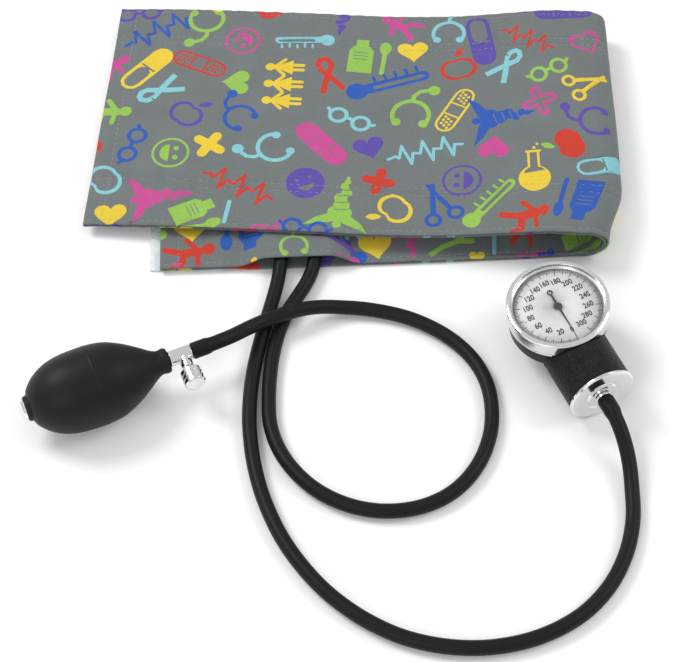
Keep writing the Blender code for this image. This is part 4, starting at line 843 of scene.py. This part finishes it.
def sectionLine(ply):
    # the folded cloth from its near edge: x, height and share of the fold's turn, against the run along it
    low = np.linspace(cuff["lowerLeft"], cuff["foldX"], 240)
    lowHeight = cuff["ply"] / 2 + 1.3 * (1 - ease((low + 60.0) / 14.0)) + cuff["step"] * ply
    radius = cuff["foldRadius"] - cuff["step"] * ply
    angle = np.linspace(-math.pi / 2, math.pi / 2, 80)[1:-1]
    high = np.linspace(cuff["foldX"], cuff["flapLeft"], 280)
    x = np.concatenate([low, cuff["foldX"] + radius * np.cos(angle), high])
    z = np.concatenate([lowHeight, cuff["foldMiddle"] + radius * np.sin(angle), flapTopAt(high)
        - cuff["ply"] / 2 - cuff["step"] * ply])
    side = np.concatenate([0 * low, ease(angle / math.pi + 0.5), 0 * high + 1])
    run = np.concatenate([[0.0], np.cumsum(np.hypot(np.diff(x), np.diff(z)))])
    return {"run": run, "x": x, "z": z, "side": side, "long": run[-1],
        "foldIn": np.interp(cuff["foldStart"], low, run[:240]), "foldOut": np.interp(-cuff["foldStart"],
        -high, run[-280:]), "flapFold": run[-280]}


sections = [sectionLine(0), sectionLine(1)]


def middlePoints(run, across, ply):
    # the cloth's middle at a run along the folded length and a distance across it
    line = sections[ply]
    x, z, side = (np.interp(run, line["run"], line[key]) for key in ("x", "z", "side"))
    spread = 1.0 - ease((x - cuff["leanFrom"]) / (cuff["foldX"] - cuff["leanFrom"]))
    held = np.minimum(x, cuff["foldX"])
    lean = spread * (cuff["lowerLean"] * (1 - side) + cuff["flapLean"] * side)
    near = ((cuff["lowerNear"] + cuff["lowerSlope"] * (held - cuff["lowerLeft"])) * (1 - side)
        + (cuff["flapNear"] + cuff["flapSlope"] * (held - cuff["flapLeft"])) * side)
    pull = cuff["nearPull"] * (1 - ease(across / 35.0)) * ease((x - 85.0) / 33.0)
    if ply == 1:  # room for the bladder, and the arch over the hoses at the near edge
        along = ease((x + 74.0) / 12) * ease((98.0 - x) / 14)
        bladder = cuff["bladderRise"] * along * ease((across - 6) / 10) * ease((142.0 - across) / 12)
        arch = ease((x + 56.0) / 16.0) * ease((6.0 - x) / 16.0)
        high = cuff["mouthRise"] - 1.5 * ease((across - 9.5) / 5.0) - 4.1 * ease((across - 31.0) / 13.0)
        mouth = np.maximum(high, 0.0) * arch * (1 - ease((across - 31.0) / 15.0))
        z = z + np.maximum(bladder, mouth) * (side <= 0)
    return np.stack([x - pull + lean * across, near + across * np.sqrt(1 - lean * lean), z], -1), side


def clothPoints(run, across, ply):
    # middle points moved by the seams' grooves, their puckers and the cloth's slack, with the normals
    step = 0.05
    spots, side = middlePoints(run, across, ply)
    alongRun = middlePoints(run + step, across, ply)[0] - middlePoints(run - step, across, ply)[0]
    alongWidth = middlePoints(run, across + step, ply)[0] - middlePoints(run, across - step, ply)[0]
    normal = np.cross(alongRun, alongWidth)
    normal /= np.linalg.norm(normal, axis=1, keepdims=True)
    rows = np.array(cuff["seamRows"] + cuff["hemRows"])
    off = across[:, None] - rows[None, :]
    groove = np.exp(-(off / 0.8) ** 2).sum(1)
    endGap = np.minimum(run, sections[ply]["long"] - run) - cuff["endHem"]
    groove = np.maximum(groove, np.exp(-(endGap / 0.8) ** 2))
    x = spots[:, 0]
    pucker = (np.exp(-(off / 5.0) ** 2) * np.sin(math.tau * x[:, None] / cuff["puckerLength"] + rows * 1.7
        + 1.3 * np.sin(x[:, None] / 17.0 + rows))).sum(1)
    slack = (np.sin(x / 23.0 + across / 31.0) * np.sin(across / 19.0 - x / 47.0) + 0.5
        * np.sin(x / 11.0 - across / 37.0) * np.sin(across / 13.0))
    loose = cuff["puckerRise"] * pucker + cuff["slackRise"] * slack * ease(np.minimum(across,
        cuff["width"] - across) / 6.0)
    push = (1 if ply == 0 else -1) * cuff["grooveDepth"] * groove * ease(side * 4
        + ply) - loose * ease(side * 2.0)
    return spots + normal * push[:, None], normal


def isInside(spots, outline):
    # how often the outline winds round each spot, counted where its edges pass the spot's height
    a, b = outline[None], np.roll(outline, -1, axis=0)[None]
    x, y = spots[:, None, 0], spots[:, None, 1]
    left = (b[..., 0] - a[..., 0]) * (y - a[..., 1]) - (x - a[..., 0]) * (b[..., 1] - a[..., 1])
    up = (a[..., 1] <= y) & (b[..., 1] > y) & (left > 0)
    down = (a[..., 1] > y) & (b[..., 1] <= y) & (left < 0)
    return (up.sum(1) - down.sum(1)) != 0


def cutCloth(ply, prints):
    # the flat cloth as triangles that follow the outline of every printed picture
    line = sections[ply]
    hem = cuff["endHem"]
    edgeSteps = [0.0, 0.15, 0.45, 0.9, 2.0, 4.5, hem - 0.8, hem, hem + 0.8]
    rows = np.unique(np.concatenate([[0.0, 0.15, 0.45, 0.9, 1.7, 2.3, 2.7, 3.1, 3.8], np.arange(5.5, 141,
        cuff["grid"]), [142.2, 142.9, 143.3, 143.7, 144.3, 145.1, 145.55, 145.85, 146.0]]
        + [np.array((row - 0.8, row, row + 0.8)) for row in cuff["seamRows"]]))
    fold = np.linspace(line["foldIn"], line["foldOut"], 40)
    low = np.concatenate([edgeSteps, np.arange(hem + 3, line["foldIn"] - 1, cuff["grid"])])
    high = line["long"] - np.concatenate([edgeSteps, np.arange(hem + 3, line["long"] - line["foldOut"]
        - 1, cuff["grid"])])
    columns = np.unique(np.concatenate([low, fold, high]))
    grid = np.stack(np.meshgrid(columns, rows, indexing="ij"), -1).reshape(-1, 2)
    edges = []
    for cutAt in (line["foldIn"], line["foldOut"]):
        first = int(np.argmin(abs(columns - cutAt))) * len(rows)
        edges += [(first + k, first + k + 1) for k in range(len(rows) - 1)]
    points, colours = [grid], []
    total = len(grid)
    for ink, outline in prints:
        inside = np.stack([np.clip(outline[:, 0], 0.0, line["long"]), np.clip(outline[:, 1], 0.0,
            cuff["width"])], 1)
        if np.ptp(inside[:, 0]) < 0.3 or np.ptp(inside[:, 1]) < 0.3:
            continue
        points.append(inside)
        edges += [(total + k, total + (k + 1) % len(inside)) for k in range(len(inside))]
        colours.append((inkNames.index(ink), inside))
        total += len(inside)
    flat = [Vector(p) for p in np.vstack(points)]
    spots, _, triangles = geometry.delaunay_2d_cdt(flat, edges, [], 0, 0.0005, False)[:3]
    spots = np.array([tuple(p) for p in spots])
    triangles = np.array([t for t in triangles if len(t) == 3])
    middles = spots[triangles].mean(1)
    tints = np.zeros(len(triangles), int)
    for ink, outline in colours:
        near = np.flatnonzero(((middles > outline.min(0)) & (middles < outline.max(0))).all(1))
        tints[near[isInside(middles[near], outline)]] = ink
    a, b, c = (spots[triangles[:, k]] for k in range(3))
    doubleArea = (b[:, 0] - a[:, 0]) * (c[:, 1] - a[:, 1]) - (b[:, 1] - a[:, 1]) * (c[:, 0] - a[:, 0])
    triangles[doubleArea < 0] = triangles[doubleArea < 0][:, ::-1]
    return spots, triangles, tints


def clothPiece(name, pattern, ply, start, stop):
    # both sides of the cloth half a thickness from its middle, round and closed along each border
    spots, triangles, tints = pattern
    middle = spots[triangles].mean(1)[:, 0]
    use = (middle > start) & (middle < stop)
    ids, local = np.unique(triangles[use], return_inverse=True)
    local = local.reshape(-1, 3)
    run, across = spots[ids, 0], spots[ids, 1]
    points, normal = clothPoints(run, across, ply)
    gap = np.minimum.reduce([across, cuff["width"] - across, run, sections[ply]["long"] - run])
    part = 1.0 - np.clip(gap / cuff["edgeRound"], 0.0, 1.0)
    half = np.maximum(cuff["ply"] / 2 * np.sqrt(np.maximum(1 - part * part, 0.0)), 0.08)[:, None]
    points = points + np.append(layout[:2], 0.0)
    count = len(ids)
    sides = np.concatenate([local[:, (0, 1)], local[:, (1, 2)], local[:, (2, 0)]])
    key = np.sort(sides, 1) @ np.array((count, 1))
    _, first, times = np.unique(key, return_index=True, return_counts=True)
    rim = sides[first[times == 1]]
    rimFaces = np.concatenate([np.stack([rim[:, 1], rim[:, 0], rim[:, 0] + count], 1),
        np.stack([rim[:, 1], rim[:, 0] + count, rim[:, 1] + count], 1)])
    faces = np.concatenate([local, local[:, ::-1] + count, rimFaces])
    palette = np.array([(*inks[key], 1.0) for key in inkNames])
    tint = palette[np.concatenate([tints[use], tints[use], np.zeros(len(rimFaces), int)])]
    uv = np.stack([run, across], 1) * 0.001
    return addPiece(name, np.vstack([points + normal * half, points - normal * half]) * 0.001, faces,
        printedCloth, tidy=False, uv=np.vstack([uv, uv]), tint=tint, sharp=62.0)


def onFlap(outlines, ply):
    # outlines given by x on the flap, moved to runs along the cloth; past the fold's top they go on round it
    line = sections[ply]
    high = slice(-280, None)
    out = []
    for ink, outline in outlines:
        x = outline[:, 0]
        run = np.where(x <= cuff["foldX"], np.interp(-x, -line["x"][high], line["run"][high]),
            line["flapFold"] - (x - cuff["foldX"]))
        run = np.where(x < cuff["flapLeft"], line["long"] + 1.0, run)
        out.append((ink, np.stack([run, outline[:, 1]], 1)))
    return out


def onLower(outlines):
    # outlines given by x on the lower layer, moved so that its free end is run 0
    return [(ink, outline - (cuff["lowerLeft"], 0.0)) for ink, outline in outlines]


outerPrint = onFlap(readPrint(flapPrint), 0) + onLower([e for e in readPrint(flapPrint, True) if e[1][:,
    0].max() < 104])
innerPrint = (onLower(readPrint(bandPrint)) + onLower([e for e in readPrint(flapPrint, True, 40.0)
    if e[1][:, 0].max() < 112 and e[1][:, 1].min() > 30]) + onFlap([e for e in readPrint(flapPrint, True)
    if e[1][:, 0].max() < 112], 1))
plies = (("Outer", 0, outerPrint), ("Inner", 1, innerPrint))
for label, ply, prints in plies:
    pattern = cutCloth(ply, prints)
    line = sections[ply]
    triangles = 0
    for part, start, stop in (("Lower", -1.0, line["foldIn"]), ("Fold", line["foldIn"], line["foldOut"]),
            ("Flap", line["foldOut"], line["long"] + 1.0)):
        piece = clothPiece("cuff" + part + label, pattern, ply, start, stop)
        cadNode = "cuff_" + part.lower() + "_" + label.lower()
        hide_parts(cadNode)
        if part == "Fold":
            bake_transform(piece)
        else:
            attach(piece, "base" if part == "Lower" else "cuff_flap")
        triangles += len(piece.data.polygons)
    print(label, "cloth triangles", triangles)

# stitches: short threads laid along rows on the cloth, each rising out of it and going back in
thread = {"long": 2.3, "gap": 0.9, "radius": 0.14, "rise": 0.06}


def stitchRow(fromSpot, toSpot):
    # spots of the stitches' middles and their headings on the flat cloth
    reach = np.array(toSpot) - np.array(fromSpot)
    count = int(np.hypot(*reach) / (thread["long"] + thread["gap"]))
    share = (np.arange(count) + 0.5)[:, None] / count
    return np.array(fromSpot) + reach * share, np.tile(reach / np.hypot(*reach), (count, 1))


def stitchPiece(name, ply, outSide, rows, body):
    # for every stitch a small tube whose radius falls to nothing at both ends, bent with the cloth below it
    spots, headings = (np.vstack(part) for part in zip(*[stitchRow(a, b) for a, b in rows]))
    t = np.linspace(-1.0, 1.0, 7)
    angle = np.linspace(0, math.tau, 6, endpoint=False)
    size = thread["radius"] * np.sqrt(np.maximum(1.0 - np.abs(t) ** 5, 0.02))
    forward = t[:, None] * thread["long"] / 2 + 0 * angle
    sideways = size[:, None] * np.cos(angle)
    height = cuff["ply"] / 2 - 0.08 + thread["rise"] * (1 - t[:, None] ** 2) * 1.6 + size[:,
        None] * np.sin(angle)
    across = np.stack([-headings[:, 1], headings[:, 0]], 1)
    flat = (spots[:, None, None] + forward[None, ..., None] * headings[:, None, None] + sideways[None,
        ..., None] * across[:, None, None])
    points, normal = clothPoints(flat[..., 0].ravel(), flat[..., 1].ravel(), ply)
    rise = np.broadcast_to(height, flat.shape[:3]).ravel()[:, None]
    points = points + normal * rise * outSide + np.append(layout[:2], 0.0)
    single = gridFaces(7, 6, False, True)
    caps = [[5, 4, 3, 2, 1, 0], [36, 37, 38, 39, 40, 41]]
    base = np.arange(len(spots))[:, None, None] * 42
    faces = (base + single[None]).reshape(-1, 4).tolist() + (base + np.array(caps)[None]).reshape(-1,
        6).tolist()
    piece = addPiece(name, points * 0.001, faces, threadYarn, tidy=False)
    closeUp(piece.data, False)
    if body:
        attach(piece, body)
    else:
        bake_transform(piece)


outer, inner = sections
allRows = cuff["seamRows"] + cuff["hemRows"]
flapEnd = outer["long"] - cuff["endHem"]
stitchPiece("flapStitches", 0, -1, [((outer["foldOut"] + 1, v), (outer["long"] - 2, v)) for v in allRows]
    + [((flapEnd, 4.5), (flapEnd, 141.5))], "cuff_flap")
stitchPiece("foldStitches", 0, -1, [((outer["foldIn"] + 1, v), (outer["foldOut"] - 1, v))
    for v in allRows], None)
stitchPiece("lowerStitches", 1, 1, [((2.0, v), (inner["foldIn"] - 2, v)) for v in cuff["hemRows"]]
    + [((cuff["endHem"], 4.5), (cuff["endHem"], 141.5))], "base")
print("cuff made")
